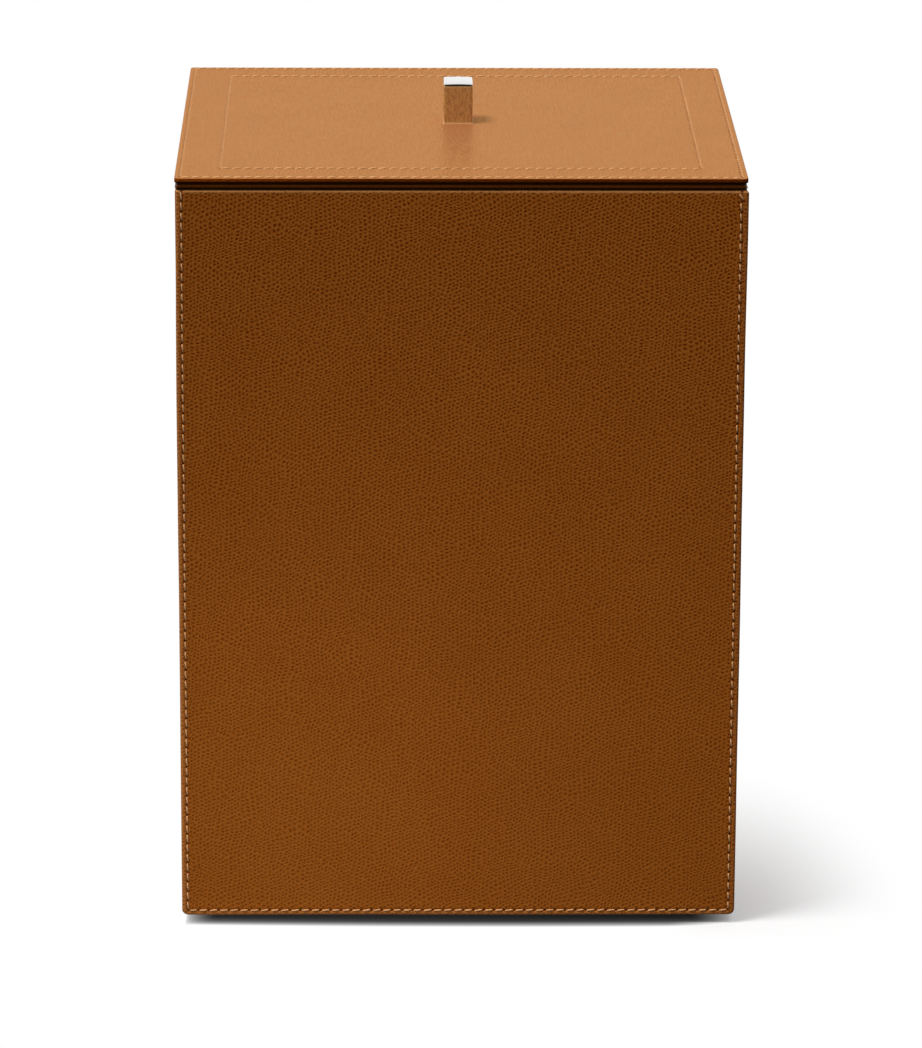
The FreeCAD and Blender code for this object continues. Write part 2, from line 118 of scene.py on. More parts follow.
def noiseAt(tree, vector, scale, detail=2.0, roughness=0.55, output="Fac"):
    sockets = {"Vector": vector, "Scale": scale, "Detail": detail, "Roughness": roughness}
    return addNode(tree, "TexNoise", sockets).outputs[output]


def startGroup(name, inputs, outputs):
    tree = bpy.data.node_groups.new(name, "ShaderNodeTree")
    for title, kind, start in inputs:
        socket = tree.interface.new_socket(title, in_out="INPUT", socket_type="NodeSocket" + kind)
        if start is not None:
            socket.default_value = start
    for title, kind in outputs:
        tree.interface.new_socket(title, in_out="OUTPUT", socket_type="NodeSocket" + kind)
    return tree, tree.nodes.new("NodeGroupInput").outputs, tree.nodes.new("NodeGroupOutput").inputs


def useGroup(tree, group, sockets):
    made = tree.nodes.new("ShaderNodeGroup")
    made.node_tree = group
    setSockets(tree, made, sockets)
    return made.outputs


def newMaterial(name, fixed):
    material = bpy.data.materials.new(name)
    material.use_nodes = True
    tree = material.node_tree
    shader = tree.nodes["Principled BSDF"]
    setSockets(tree, shader, fixed)
    return material, tree, shader


def connect(tree, shader, colour, roughness, height, depth):
    bump = addNode(tree, "Bump", {"Strength": 1.0, "Distance": depth, "Height": height})
    setSockets(tree, shader, {"Base Color": colour, "Roughness": roughness, "Normal": bump.outputs["Normal"]})


# a sideways mix of a vector's parts: x plus a share of y, and y scaled
def shear(tree, vector, share, scale):
    parts = addNode(tree, "SeparateXYZ", {"Vector": vector}).outputs
    across = calc(tree, "ADD", parts["X"], times(tree, parts["Y"], share))
    upwards = times(tree, parts["Y"], scale)
    return addNode(tree, "CombineXYZ", {"X": across, "Y": upwards}).outputs[0]


# embossed grain: separate pits in slightly swaying rows, each between six others
grainLook = {"spacing": 2.43 * mm, "tilt": -0.42, "scatter": 0.27, "sway": 2.2, "swayScale": 0.15,
             "stagger": (-0.534, 1.256), "unstagger": (0.425, 0.796), "oval": (0.95, 1.05, 0.0),
             "pitReach": (0.41, 0.06), "pitShares": (0.6, 1.0), "fineScale": 2.6, "fineShare": 0.5}


def makePebbleGrain():
    look = grainLook
    tree, given, result = startGroup(
        "pebbleGrain",
        [("Vector", "Vector", None), ("Spacing", "Float", look["spacing"]), ("Tilt", "Float", look["tilt"]),
         ("Scatter", "Float", look["scatter"]), ("Sway", "Float", look["sway"])],
        [("Pits", "Float"), ("Height", "Float"), ("Fine", "Float")])
    turned = addNode(tree, "VectorRotate", {"Vector": given["Vector"], "Angle": given["Tilt"]},
                     rotation_type="Z_AXIS").outputs[0]
    scaled = scaleVector(tree, turned, calc(tree, "DIVIDE", 1.0, given["Spacing"]))
    swaying = noiseAt(tree, scaled, look["swayScale"], 0.0, output="Color")
    drift = vectorCalc(tree, "SUBTRACT", swaying, (0.5, 0.5, 0.5))
    moved = vectorCalc(tree, "ADD", scaled, scaleVector(tree, drift, given["Sway"]))
    # square cells sheared into staggered rows, with distances measured after shearing back
    lattice = shear(tree, moved, *look["stagger"])
    cells = addNode(tree, "TexVoronoi", {"Vector": lattice, "Scale": 1.0, "Randomness": given["Scatter"]},
                    voronoi_dimensions="2D")
    away = shear(tree, vectorCalc(tree, "SUBTRACT", cells.outputs["Position"], lattice), *look["unstagger"])
    oval = vectorCalc(tree, "MULTIPLY", away, look["oval"])
    reach = addNode(tree, "VectorMath", {0: oval}, operation="LENGTH").outputs["Value"]
    dip = remap(tree, reach, look["pitReach"])
    cellValue = addNode(tree, "SeparateColor", {"Color": cells.outputs["Color"]}).outputs["Red"]
    dip = times(tree, dip, ramp(tree, cellValue, (0.0, 1.0), look["pitShares"]))
    fine = noiseAt(tree, scaled, look["fineScale"], 3.0, 0.6)
    height = calc(tree, "SUBTRACT", times(tree, fine, look["fineShare"]), dip)
    tree.links.new(dip, result["Pits"])
    tree.links.new(height, result["Height"])
    tree.links.new(fine, result["Fine"])
    return tree


# cloudy change of tone, broad patches with a little small mottling
def makeHideTone():
    tree, given, result = startGroup(
        "hideTone",
        [("Vector", "Vector", None), ("Light", "Color", None), ("Dark", "Color", None),
         ("Patch", "Float", 45 * mm)],
        [("Color", "Color"), ("Cloud", "Float")])
    perPatch = calc(tree, "DIVIDE", 1.0, given["Patch"])
    broad = noiseAt(tree, given["Vector"], perPatch, 3.0)
    small = noiseAt(tree, given["Vector"], times(tree, perPatch, 9.0), 2.0)
    share = ramp(tree, blend(tree, broad, 0.7, small, 0.3), (0.34, 0.66))
    tree.links.new(mixColour(tree, share, given["Light"], given["Dark"]), result["Color"])
    tree.links.new(share, result["Cloud"])
    return tree


# needle holes along a seam, from the map that counts stitches along it and metres across it
holeLook = {"pitch": 5.5 * mm, "radius": 0.5 * mm, "rim": (1.3, 0.5), "crease": (1.3 * mm, 0.2 * mm),
            "creaseShade": 0.1, "depth": 1.5}


def makeNeedleHoles():
    look = holeLook
    tree, given, result = startGroup(
        "needleHoles",
        [("Seam", "Vector", None), ("Pitch", "Float", look["pitch"]), ("Radius", "Float", look["radius"])],
        [("Holes", "Float"), ("Crease", "Float")])
    parts = addNode(tree, "SeparateXYZ", {"Vector": given["Seam"]}).outputs
    along = times(tree, calc(tree, "PINGPONG", parts["X"], 0.5), given["Pitch"])
    across = calc(tree, "ABSOLUTE", parts["Y"])
    squares = calc(tree, "ADD", calc(tree, "POWER", along, 2.0), calc(tree, "POWER", across, 2.0))
    share = calc(tree, "DIVIDE", calc(tree, "SQRT", squares), given["Radius"])
    tree.links.new(remap(tree, share, look["rim"]), result["Holes"])
    tree.links.new(remap(tree, across, look["crease"]), result["Crease"])
    return tree


# short fibres: nap of suede, hairs of felt, chips of board
def makeFibre():
    tree, given, result = startGroup(
        "fibre",
        [("Vector", "Vector", None), ("Length", "Float", 1.0 * mm), ("Stretch", "Vector", None)],
        [("Tone", "Float"), ("Height", "Float")])
    scaled = scaleVector(tree, given["Vector"], calc(tree, "DIVIDE", 1.0, given["Length"]))
    drawn = vectorCalc(tree, "MULTIPLY", scaled, given["Stretch"])
    hairs = noiseAt(tree, drawn, 2.2, 4.0, 0.7)
    clumps = noiseAt(tree, scaled, 0.12, 3.0)
    tone = blend(tree, hairs, 0.55, clumps, 0.45)
    tree.links.new(ramp(tree, tone, (0.32, 0.68)), result["Tone"])
    tree.links.new(hairs, result["Height"])
    return tree


pebbleGrain = makePebbleGrain()
hideTone = makeHideTone()
needleHoles = makeNeedleHoles()
fibre = makeFibre()
print("shader groups ready")


# leather of the body, the lid and the knob, and the strip under the lid's edge, darkened with painted shade
# the pit colour is partly the hide's grain, partly painted shade in its hollows; the hole colour is painted shade
# in the needle holes; the rubbed colour is partly wear, partly painted highlight on edges that catch the light
hideColours = {
    "light": (0.520, 0.154, 0.0190, 1.0),
    "dark": (0.485, 0.140, 0.0165, 1.0),
    "pit": (0.225, 0.027, 0.0000, 1.0),
    "hole": (0.110, 0.028, 0.0050, 1.0),
    "rubbedAndLit": (0.820, 0.360, 0.1150, 1.0),
    "gloss": (0.42, 0.14, 0.03, 1.0),
}
# a paler, lighter copy of the hide's colours: painted sheen on the same hide as the walls
lidColours = {
    "light": (0.520, 0.221, 0.0830, 1.0),
    "dark": (0.497, 0.209, 0.0775, 1.0),
    "pit": (0.330, 0.110, 0.0200, 1.0),
    "hole": (0.300, 0.115, 0.0300, 1.0),
    "rubbedAndLit": (0.580, 0.250, 0.0760, 1.0),
    "edge": (0.360, 0.072, 0.0030, 1.0),
    "paintAndShade": (0.022, 0.0045, 0.0008, 1.0),
    "gloss": (1.0, 0.78, 0.48, 1.0),
}
# a lighter, paler copy of the hide's colours: painted light from the lid's bright top and the knob's sheen
knobColours = {
    "light": (0.770, 0.420, 0.1380, 1.0),
    "dark": (0.630, 0.322, 0.0930, 1.0),
    "pit": (0.230, 0.062, 0.0050, 1.0),
    "rubbedAndLit": (0.800, 0.460, 0.1850, 1.0),
    "gloss": (1.0, 0.92, 0.82, 1.0),
}
# a darker copy of the hide's colours: painted shade in the recess under the lid's overhang
stripColours = {
    "light": (0.300, 0.081, 0.0110, 1.0),
    "dark": (0.240, 0.062, 0.0080, 1.0),
    "pit": (0.080, 0.014, 0.0008, 1.0),
    "edge": (0.240, 0.060, 0.0070, 1.0),
    "paintAndShade": (0.016, 0.0035, 0.0006, 1.0),
    "gloss": (0.42, 0.14, 0.03, 1.0),
}
plainLeather = {"spacing": grainLook["spacing"], "tilt": grainLook["tilt"], "pitTone": 0.5, "speckle": 0.0,
                "depth": 0.06 * mm, "gloss": 0.2, "lustre": 0.0, "roughness": (0.36, 0.52), "mapped": True,
                "seams": False, "rubAndLight": 0.0, "fade": None, "wave": None, "ripple": None, "paintedAndShaded": False}
bodyLook = {**plainLeather, "colours": hideColours, "pitTone": 1.0, "speckle": 0.25, "depth": 0.18 * mm,
            "gloss": 0.0, "lustre": 0.025, "roughness": (0.42, 0.58), "seams": True, "rubAndLight": 0.4,
            "fade": (0.4, 0.66, 1.08)}
lidLook = {**plainLeather, "colours": lidColours, "pitTone": 0.2, "speckle": 0.03, "depth": 0.14 * mm,
           "gloss": 0.0, "lustre": 0.28, "roughness": (0.04, 0.40), "seams": True, "rubAndLight": 0.2,
           "ripple": (0.195, 800.0, 110.0), "paintedAndShaded": True}
knobLook = {**plainLeather, "colours": knobColours, "spacing": 1.6 * mm, "tilt": -0.5, "pitTone": 0.25,
            "speckle": 0.05, "depth": 0.08 * mm, "gloss": 0.8, "roughness": (0.42, 0.58), "rubAndLight": 0.35,
            "wave": (1.2, 900.0, 300.0)}
stripLook = {**plainLeather, "colours": stripColours, "spacing": 1.8 * mm, "roughness": (0.40, 0.55),
             "mapped": False, "paintedAndShaded": True}
bandLook = {**plainLeather, "colours": hideColours, "mapped": False}


def makeLeather(name, look):
    hue = look["colours"]
    fixed = {"IOR": 1.45, "Specular IOR Level": look["gloss"], "Specular Tint": hue["gloss"],
             "Metallic": look["lustre"]}
    material, tree, shader = newMaterial(name, fixed)
    if not look["mapped"]:
        place = addNode(tree, "SeparateXYZ", {"Vector": addNode(tree, "TexCoord").outputs["Object"]})
        aroundEdge = calc(tree, "ADD", place.outputs["X"], place.outputs["Y"])
        sheet = addNode(tree, "CombineXYZ", {"X": aroundEdge, "Y": place.outputs["Z"]}).outputs[0]
    else:
        sheet = addNode(tree, "UVMap", uv_map="sheet").outputs[0]
    grain = useGroup(tree, pebbleGrain, {"Vector": sheet, "Spacing": look["spacing"], "Tilt": look["tilt"]})
    tone = useGroup(tree, hideTone, {"Vector": sheet, "Light": hue["light"], "Dark": hue["dark"]})
    strength = 1.0
    if look["fade"]:
        # painted shade: the grain's pits darken more towards the top, where the light grazes the wall from above
        tall, lowest, highest = look["fade"]
        up = addNode(tree, "SeparateXYZ", {"Vector": sheet}).outputs["Y"]
        strength = ramp(tree, up, (0.0, tall), (lowest, highest))
    # the pits take the pit colour: partly the hide's grain, partly painted shade in the hollows
    pits = times(tree, grain["Pits"], times(tree, strength, look["pitTone"]))
    colour = mixColour(tree, pits, tone["Color"], hue["pit"])
    # fine speckle of tone with paler light specks: partly random tone, partly painted glints on the grain's ridges
    if look["speckle"]:
        s = look["speckle"]
        speck = times(tree, calc(tree, "SUBTRACT", grain["Fine"], 0.5), strength)
        tint = mixColour(tree, ramp(tree, speck, (-0.2, 0.2)),
                         (1 - s, 1 - 1.8 * s, 1 - 4 * s, 1.0), (1 + s, 1 + 1.8 * s, 1 + 4 * s, 1.0))
        colour = vectorCalc(tree, "MULTIPLY", colour, tint)
    height = grain["Height"]
    # edges lighten towards the rubbed colour: partly wear, partly painted highlight where rolled edges catch the
    # light
    if look["rubAndLight"]:
        wornAndLit = addNode(tree, "Attribute", attribute_name="edge").outputs["Fac"]
        wornAndLit = times(tree, wornAndLit, times(tree, grain["Fine"], 2 * look["rubAndLight"]))
        colour = mixColour(tree, wornAndLit, colour, hue["rubbedAndLit"])
    if look["seams"]:
        seam = addNode(tree, "UVMap", uv_map="seam").outputs[0]
        holes = useGroup(tree, needleHoles, {"Seam": seam})
        # painted shade: the seam's groove and its needle holes darken towards the pit and hole colours
        crease = times(tree, holes["Crease"], holeLook["creaseShade"])
        colour = mixColour(tree, crease, colour, hue["pit"])
        colour = mixColour(tree, holes["Holes"], colour, hue["hole"])
        height = calc(tree, "SUBTRACT", height, times(tree, holes["Holes"], holeLook["depth"]))
    if look["wave"]:
        share, acrossScale, alongScale = look["wave"]
        drawn = vectorCalc(tree, "MULTIPLY", sheet, (acrossScale, alongScale, 1.0))
        swell = noiseAt(tree, drawn, 1.0, 1.0)
        height = calc(tree, "ADD", height, times(tree, swell, 2 * share))
        # painted shade: the troughs of the wrap's swell darken towards the pit colour
        colour = mixColour(tree, remap(tree, swell, (0.58, 0.34), (0.0, 0.35 * share)), colour, hue["pit"])
    if look["paintedAndShaded"]:
        # first into a red brown, then into the dark: partly edge paint, partly painted shade on the lid's edge and
        # on the strip under it
        paintedAndShaded = addNode(tree, "Attribute", attribute_name="paintAndShade").outputs["Fac"]
        colour = mixColour(tree, ramp(tree, paintedAndShaded, (0.0, 0.3)), colour, hue["edge"])
        colour = mixColour(tree, ramp(tree, paintedAndShaded, (0.3, 1.0)), colour, hue["paintAndShade"])
        if look["lustre"]:
            lustre = remap(tree, paintedAndShaded, (0.0, 0.2), (look["lustre"], 0.0))
            tree.links.new(lustre, shader.inputs["Metallic"])
    rough = blend(tree, grain["Pits"], 0.85, tone["Cloud"], 0.15, True)
    if look["ripple"]:
        # slanting lines of smoother and duller grain, seen where the lid mirrors its knob
        lean, acrossScale, alongScale = look["ripple"]
        drawn = vectorCalc(tree, "MULTIPLY", shear(tree, sheet, lean, 1.0), (acrossScale, alongScale, 1.0))
        rough = remap(tree, noiseAt(tree, drawn, 1.0, 1.0), (0.4, 0.6))
    rough = ramp(tree, rough, (0.0, 1.0), look["roughness"])
    connect(tree, shader, colour, rough, height, look["depth"])
    return material


bodyLeather = makeLeather("bodyLeather", bodyLook)
lidLeather = makeLeather("lidLeather", lidLook)
knobLeather = makeLeather("knobLeather", knobLook)
stripLeather = makeLeather("stripLeather", stripLook)
bandLeather = makeLeather("bandLeather", bandLook)
print("leathers ready")

# twisted sewing thread, its turns from the stitch's own map
threadColours = {"lit": (1.0, 0.57, 0.26, 1.0), "shade": (0.72, 0.36, 0.14, 1.0), "turnsPerMetre": 900.0}


def makeThread():
    material, tree, shader = newMaterial("sewingThread", {"IOR": 1.45, "Specular IOR Level": 0.06})
    lay = addNode(tree, "SeparateXYZ", {"Vector": addNode(tree, "UVMap", uv_map="sheet").outputs[0]})
    turn = times(tree, lay.outputs["X"], threadColours["turnsPerMetre"])
    turn = calc(tree, "ADD", turn, times(tree, lay.outputs["Y"], 2.0))
    strand = times(tree, calc(tree, "PINGPONG", turn, 0.5), 2.0)
    where = addNode(tree, "TexCoord").outputs["Object"]
    cloud = noiseAt(tree, where, 180.0, 2.0)
    share = blend(tree, strand, 0.75, cloud, 0.5, True)
    colour = mixColour(tree, share, threadColours["shade"], threadColours["lit"])
    rough = ramp(tree, cloud, (0.3, 0.7), (0.42, 0.6))
    connect(tree, shader, colour, rough, strand, 0.09 * mm)
    return material


# the other finishes: suede lining, felts, boards, wood and metal
fibreFinishes = {
    "suedeLining": {"light": (0.36, 0.245, 0.15, 1.0), "dark": (0.24, 0.155, 0.092, 1.0), "length": 1.3 * mm,
                    "stretch": (1.0, 1.0, 0.45), "roughness": (0.85, 1.0), "depth": 0.12 * mm, "sheen": 0.35},
    "baseFelt": {"light": (0.105, 0.072, 0.050, 1.0), "dark": (0.055, 0.036, 0.024, 1.0), "length": 1.8 * mm,
                 "stretch": (1.0, 0.4, 1.0), "roughness": (0.9, 1.0), "depth": 0.2 * mm, "sheen": 0.2},
    "footFelt": {"light": (0.050, 0.041, 0.036, 1.0), "dark": (0.022, 0.018, 0.016, 1.0), "length": 1.5 * mm,
                 "stretch": (1.0, 0.6, 1.0), "roughness": (0.9, 1.0), "depth": 0.25 * mm, "sheen": 0.2},
    "carcassBoard": {"light": (0.47, 0.33, 0.20, 1.0), "dark": (0.34, 0.22, 0.125, 1.0), "length": 1.6 * mm,
                     "stretch": (0.7, 0.7, 1.4), "roughness": (0.7, 0.9), "depth": 0.08 * mm, "sheen": 0.0},
    "leatherBoard": {"light": (0.34, 0.21, 0.11, 1.0), "dark": (0.24, 0.14, 0.07, 1.0), "length": 1.1 * mm,
                     "stretch": (0.6, 1.0, 1.0), "roughness": (0.6, 0.8), "depth": 0.06 * mm, "sheen": 0.0},
    "knobWood": {"light": (0.54, 0.36, 0.205, 1.0), "dark": (0.40, 0.25, 0.13, 1.0), "length": 2.4 * mm,
                 "stretch": (2.0, 2.0, 0.12), "roughness": (0.5, 0.7), "depth": 0.06 * mm, "sheen": 0.0},
}


def makeFibreFinish(name, look):
    fixed = {"IOR": 1.4, "Sheen Weight": look["sheen"], "Sheen Roughness": 0.5}
    material, tree, shader = newMaterial(name, fixed)
    where = addNode(tree, "TexCoord").outputs["Object"]
    hairs = useGroup(tree, fibre, {"Vector": where, "Length": look["length"], "Stretch": look["stretch"]})
    colour = mixColour(tree, hairs["Tone"], look["dark"], look["light"])
    rough = ramp(tree, hairs["Tone"], (0.0, 1.0), look["roughness"])
    connect(tree, shader, colour, rough, hairs["Height"], look["depth"])
    return material


metalFinishes = {
    "polishedMetal": {"light": (0.86, 0.85, 0.84, 1.0), "dark": (0.78, 0.77, 0.76, 1.0),
                      "roughness": (0.07, 0.16), "grain": (300.0, 2600.0, 2600.0), "depth": 0.002 * mm},
    # the neck is coloured dark as painted shade in the gap under the cap plate
    "capNeck": {"light": (0.060, 0.050, 0.042, 1.0), "dark": (0.030, 0.024, 0.020, 1.0),
                "roughness": (0.55, 0.70), "grain": (900.0, 900.0, 900.0), "depth": 0.01 * mm},
    "screwSteel": {"light": (0.60, 0.60, 0.61, 1.0), "dark": (0.46, 0.46, 0.47, 1.0),
                   "roughness": (0.28, 0.45), "grain": (900.0, 900.0, 2500.0), "depth": 0.01 * mm},
}


def makeMetal(name, look):
    material, tree, shader = newMaterial(name, {"Metallic": 1.0})
    where = addNode(tree, "TexCoord").outputs["Object"]
    lines = noiseAt(tree, vectorCalc(tree, "MULTIPLY", where, look["grain"]), 1.0, 3.0, 0.6)
    smear = noiseAt(tree, where, 220.0, 3.0)
    share = blend(tree, lines, 0.5, smear, 0.5)
    colour = mixColour(tree, share, look["dark"], look["light"])
    rough = ramp(tree, share, (0.3, 0.7), look["roughness"])
    connect(tree, shader, colour, rough, lines, look["depth"])
    return material


finishes = {"sewingThread": makeThread()}
for finish, look in fibreFinishes.items():
    finishes[finish] = makeFibreFinish(finish, look)
for finish, look in metalFinishes.items():
    finishes[finish] = makeMetal(finish, look)
print("other finishes ready")

# every CAD node gets its finish, also those that a piece stands for or that stay hidden
slotFinishes = {
    "body_leather": bandLeather,
    "lid_leather": bandLeather,
    "knob_leather": bandLeather,
    "suede_lining": finishes["suedeLining"],
    "base_felt": finishes["baseFelt"],
    "foot_felt": finishes["footFelt"],
    "carcass_board": finishes["carcassBoard"],
    "leatherboard": finishes["leatherBoard"],
    "knob_wood": finishes["knobWood"],
    "polished_metal": finishes["polishedMetal"],
    "screw_steel": finishes["screwSteel"],
}
for subpart in frame["record"]["subparts"]:
    node = frame["nodes"][subpart["node"]]
    finish = slotFinishes[subpart["material_slot"]]
    if not node.material_slots:
        node.data.materials.append(finish)
    for place in node.material_slots:
        place.material = finish
print("CAD nodes finished")


# mesh helpers
def finishPiece(bm, name, body, materials, stands=()):
    for face in bm.faces:
        face.smooth = True
    for edge in bm.edges:
        edge.smooth = edge.calc_face_angle(0.0) < math.radians(50)
    mesh = bpy.data.meshes.new(name)
    bm.to_mesh(mesh)
    bm.free()
    for material in materials:
        mesh.materials.append(material)
    piece = bpy.data.objects.new(name, mesh)
    bpy.context.scene.collection.objects.link(piece)
    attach(piece, body)
    if stands:
        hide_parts(*stands)
    print("made", name, "with", len(mesh.polygons), "faces")


def evenSteps(start, end, step):
    count = max(1, round(abs(end - start) / step))
    return [start + (end - start) * i / count for i in range(1, count)]


def smoothStep(value):
    value = min(1.0, max(0.0, value))
    return value * value * (3 - 2 * value)


def hump(distance, spread):
    return math.exp(-(distance / spread) ** 2)


def sheetGrid(bm, columns, rows):
    made = bmesh.ops.create_grid(bm, x_segments=columns - 1, y_segments=rows - 1, size=0.5)["verts"]
    spots = {}
    for vert in made:
        spots[vert] = (round((vert.co.x + 0.5) * (columns - 1)), round((vert.co.y + 0.5) * (rows - 1)))
    return spots


def addBlock(bm, size):
    block = bmesh.ops.create_cube(bm, size=1.0)["verts"]
    bmesh.ops.scale(bm, vec=size, verts=block)
    return block


def uprightEdges(bm, height):
    return [e for e in bm.edges if abs(e.verts[0].co.z - e.verts[1].co.z) > height / 2]


def topEdges(bm):
    return list({e for f in bm.faces if f.normal.z > 0.9 for e in f.edges})


def roundEdges(bm, edges, offset, segments):
    bmesh.ops.bevel(bm, geom=edges, offset=offset, offset_type="OFFSET", affect="EDGES", segments=segments,
                    profile=0.5, material=-1)


def sliceThrough(bm, place, normal):
    bmesh.ops.bisect_plane(bm, geom=bm.verts[:] + bm.edges[:] + bm.faces[:], plane_co=place, plane_no=normal)


# sine and cosine at even steps of a quarter circle
def quarterTurn(steps, first=1):
    angles = [math.pi / 2 * i / steps for i in range(first, steps + 1)]
    return [(math.sin(a), math.cos(a)) for a in angles]


def pathLengths(points):
    lengths = [0.0]
    for one, two in zip(points, points[1:]):
        lengths.append(lengths[-1] + math.hypot(two[0] - one[0], two[1] - one[1]))
    return lengths


# how far a rounded edge lies back at a distance from its end
def setBack(distance, radius):
    if distance >= radius:
        return 0.0
    return radius - math.sqrt(max(0.0, radius ** 2 - (radius - distance) ** 2))


# turns round the upright axis at a face's corners, without a jump inside the face
def turnsAround(face):
    middle = face.calc_center_median()
    facing = math.atan2(middle.y, middle.x)
    turns = []
    for loop in face.loops:
        angle = math.atan2(loop.vert.co.y, loop.vert.co.x)
        angle += math.tau * round((facing - angle) / math.tau)
        turns.append(angle / math.tau)
    return turns


# one stitch of thread, bowed, with its ends going down into the needle holes
threadLook = {"pitch": holeLook["pitch"], "length": 5.15 * mm, "radius": 0.46 * mm, "sink": 0.7 * mm,
              "sinkPower": 3.5, "taper": 0.5, "taperPower": 4, "flatten": 0.92, "sides": 8, "cuts": 5,
              "slant": math.radians(6.5), "reach": 0.91, "jitter": 0.05 * mm, "turnJitter": 2,
              "sizeJitter": (0.95, 1.03)}


def makeStitch():
    look = threadLook
    bm = bmesh.new()
    lay = bm.loops.layers.uv.new("sheet")
    bmesh.ops.create_cone(bm, cap_ends=True, segments=look["sides"], radius1=look["radius"],
                          radius2=look["radius"], depth=look["length"])
    longEdges = uprightEdges(bm, look["length"])
    bmesh.ops.subdivide_edges(bm, edges=longEdges, cuts=look["cuts"], use_grid_fill=True)
    for face in bm.faces:
        for loop, turn in zip(face.loops, turnsAround(face)):
            loop[lay].uv = (loop.vert.co.z, turn)
    bmesh.ops.rotate(bm, verts=bm.verts, cent=(0, 0, 0), matrix=Matrix.Rotation(math.pi / 2, 3, "Y"))
    for vert in bm.verts:
        reach = vert.co.x / (look["length"] / 2)
        squeeze = 1 - look["taper"] * reach ** look["taperPower"]
        vert.co.y *= squeeze
        vert.co.z = vert.co.z * squeeze * look["flatten"] - look["sink"] * abs(reach) ** look["sinkPower"]
    stitch = bpy.data.meshes.new("stitch")
    bm.to_mesh(stitch)
    bm.free()
    return stitch


stitchShape = makeStitch()


# stitches in runs, each from one hole to another with its outward direction
def sewRuns(name, body, runs, seed):
    look = threadLook
    dice = random.Random(seed)
    bm = bmesh.new()
    for run in runs:
        start, end, outward = Vector(run["start"]), Vector(run["end"]), Vector(run["outward"])
        along = (end - start).normalized()
        across = outward.cross(along)
        count = run["count"]
        for i in range(count):
            middle = start.lerp(end, (i + 0.5) / count)
            middle += across * dice.uniform(-1, 1) * look["jitter"]
            turn = run.get("slant", look["slant"])
            turn += math.radians(dice.uniform(-look["turnJitter"], look["turnJitter"]))
            if i == count - 1:
                turn += run.get("steepEnd", 0.0)
            size = (end - start).length / count / look["pitch"] * dice.uniform(*look["sizeJitter"])
            size *= run.get("reach", look["reach"])
            fat = run.get("fat", 1.0)
            basis = Matrix((along, across, outward)).transposed()
            basis = basis @ Matrix.Rotation(turn, 3, "Z") @ Matrix.Diagonal((size, fat, run.get("tall", fat)))
            first = len(bm.verts)
            bm.from_mesh(stitchShape)
            bm.verts.ensure_lookup_table()
            place = Matrix.Translation(middle + outward * run["lift"]) @ basis.to_4x4()
            bmesh.ops.transform(bm, matrix=place, verts=bm.verts[first:])
    finishPiece(bm, name, body, [finishes["sewingThread"]])


# rise of sewn leather: puffed up to its seam, pressed in along it and swelling again beyond it
sewnSwell = {"beyond": 1.8 * mm, "spread": 1.1 * mm, "share": 0.7}


def sewnRise(look, distance, seam):
    rise = look["puff"] * math.sin(math.pi * min(1.0, distance / seam)) ** 2
    rise -= look["seamDepth"] * hump(distance - seam, look["seamSpread"])
    swell = hump(distance - seam - sewnSwell["beyond"], sewnSwell["spread"])
    return rise + sewnSwell["share"] * look["puff"] * swell


# wall leathers: a sheet rolled at its edges, folded over the rim and turned down inside
wallLook = {
    "turns": {"front": 0, "right": 90, "back": 180, "left": 270},
    "roll": 1.0 * mm,
    "hemRoll": 0.5 * mm,
    "hemDrop": 0.2 * mm,
    "hemReach": 2.2 * mm,
    "hemWave": (20, 0.7),
    "rimRound": 1.15 * mm,
    "innerRound": 0.6 * mm,
    "turnDown": 14.0 * mm,
    "cornerRound": 3.0 * mm,
    "sideSeam": 3.2 * mm,
    "hemSeam": 2.5 * mm,
    "seamTop": 0.6 * mm,
    "seamBlend": 0.8 * mm,
    "seamDepth": 0.36 * mm,
    "seamSpread": 0.55 * mm,
    "puff": 0.15 * mm,
    "stitchLift": {True: 0.15 * mm, False: -0.3 * mm},
    "steepEnd": math.radians(30),
    "faceFade": (1.0 * mm, 3.0 * mm),
    "mitreDip": (0.3 * mm, 0.5 * mm),
    "flare": {"front": (0.35, 0.6), "back": (0.3, 0.1)},
    "flareReach": 5.0 * mm,
    "wobble": 0.2 * mm,
    "swayWaves": [(13, 3, 1.0), (45, 1, 0.1)],
    "ripple": 0.06 * mm,
    "rippleWaves": [(21, 1.0), (60, 0.4)],
    "rippleInset": 6.0 * mm,
    "rimHighlight": {"most": 2.8, "less": 0.8, "middle": 70.0 * mm, "below": 0.6 * mm, "spread": 0.75 * mm},
    "sideRubAndLight": {"reach": 3.4 * mm, "share": 0.5, "start": 0.3 * mm, "rise": 0.7 * mm},
    "step": 9.0 * mm,
    "overRim": [2.2, 4.2, 6.2],
    "downInside": [3.0, 6.5, 10.0, 13.7],
    "nearRim": [4.5, 2.4, 1.4, 0.8, 0.35, 0.0],
    "nearEdge": [0.0, 0.12, 0.32, 0.6, 1.0, 1.4, 1.75, 2.05],
    "nearSeam": [-0.7, -0.45, -0.22, 0.0, 0.22, 0.45, 0.75, 1.1, 1.6, 2.4, 4.0, 7.0, 12.0],
}
frontLow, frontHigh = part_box("front_leather")
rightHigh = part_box("right_leather")[1]
wallThick = frontHigh.y - frontLow.y
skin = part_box("front_board")[0].y - frontLow.y
liningSkin = frontHigh.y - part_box("front_board")[1].y
wallHeight = frontHigh.z - frontLow.z


def edgeStations(seam):
    near = [d * mm for d in wallLook["nearEdge"] if d * mm < seam - wallLook["seamBlend"]]
    return near + [seam + d * mm for d in wallLook["nearSeam"]]


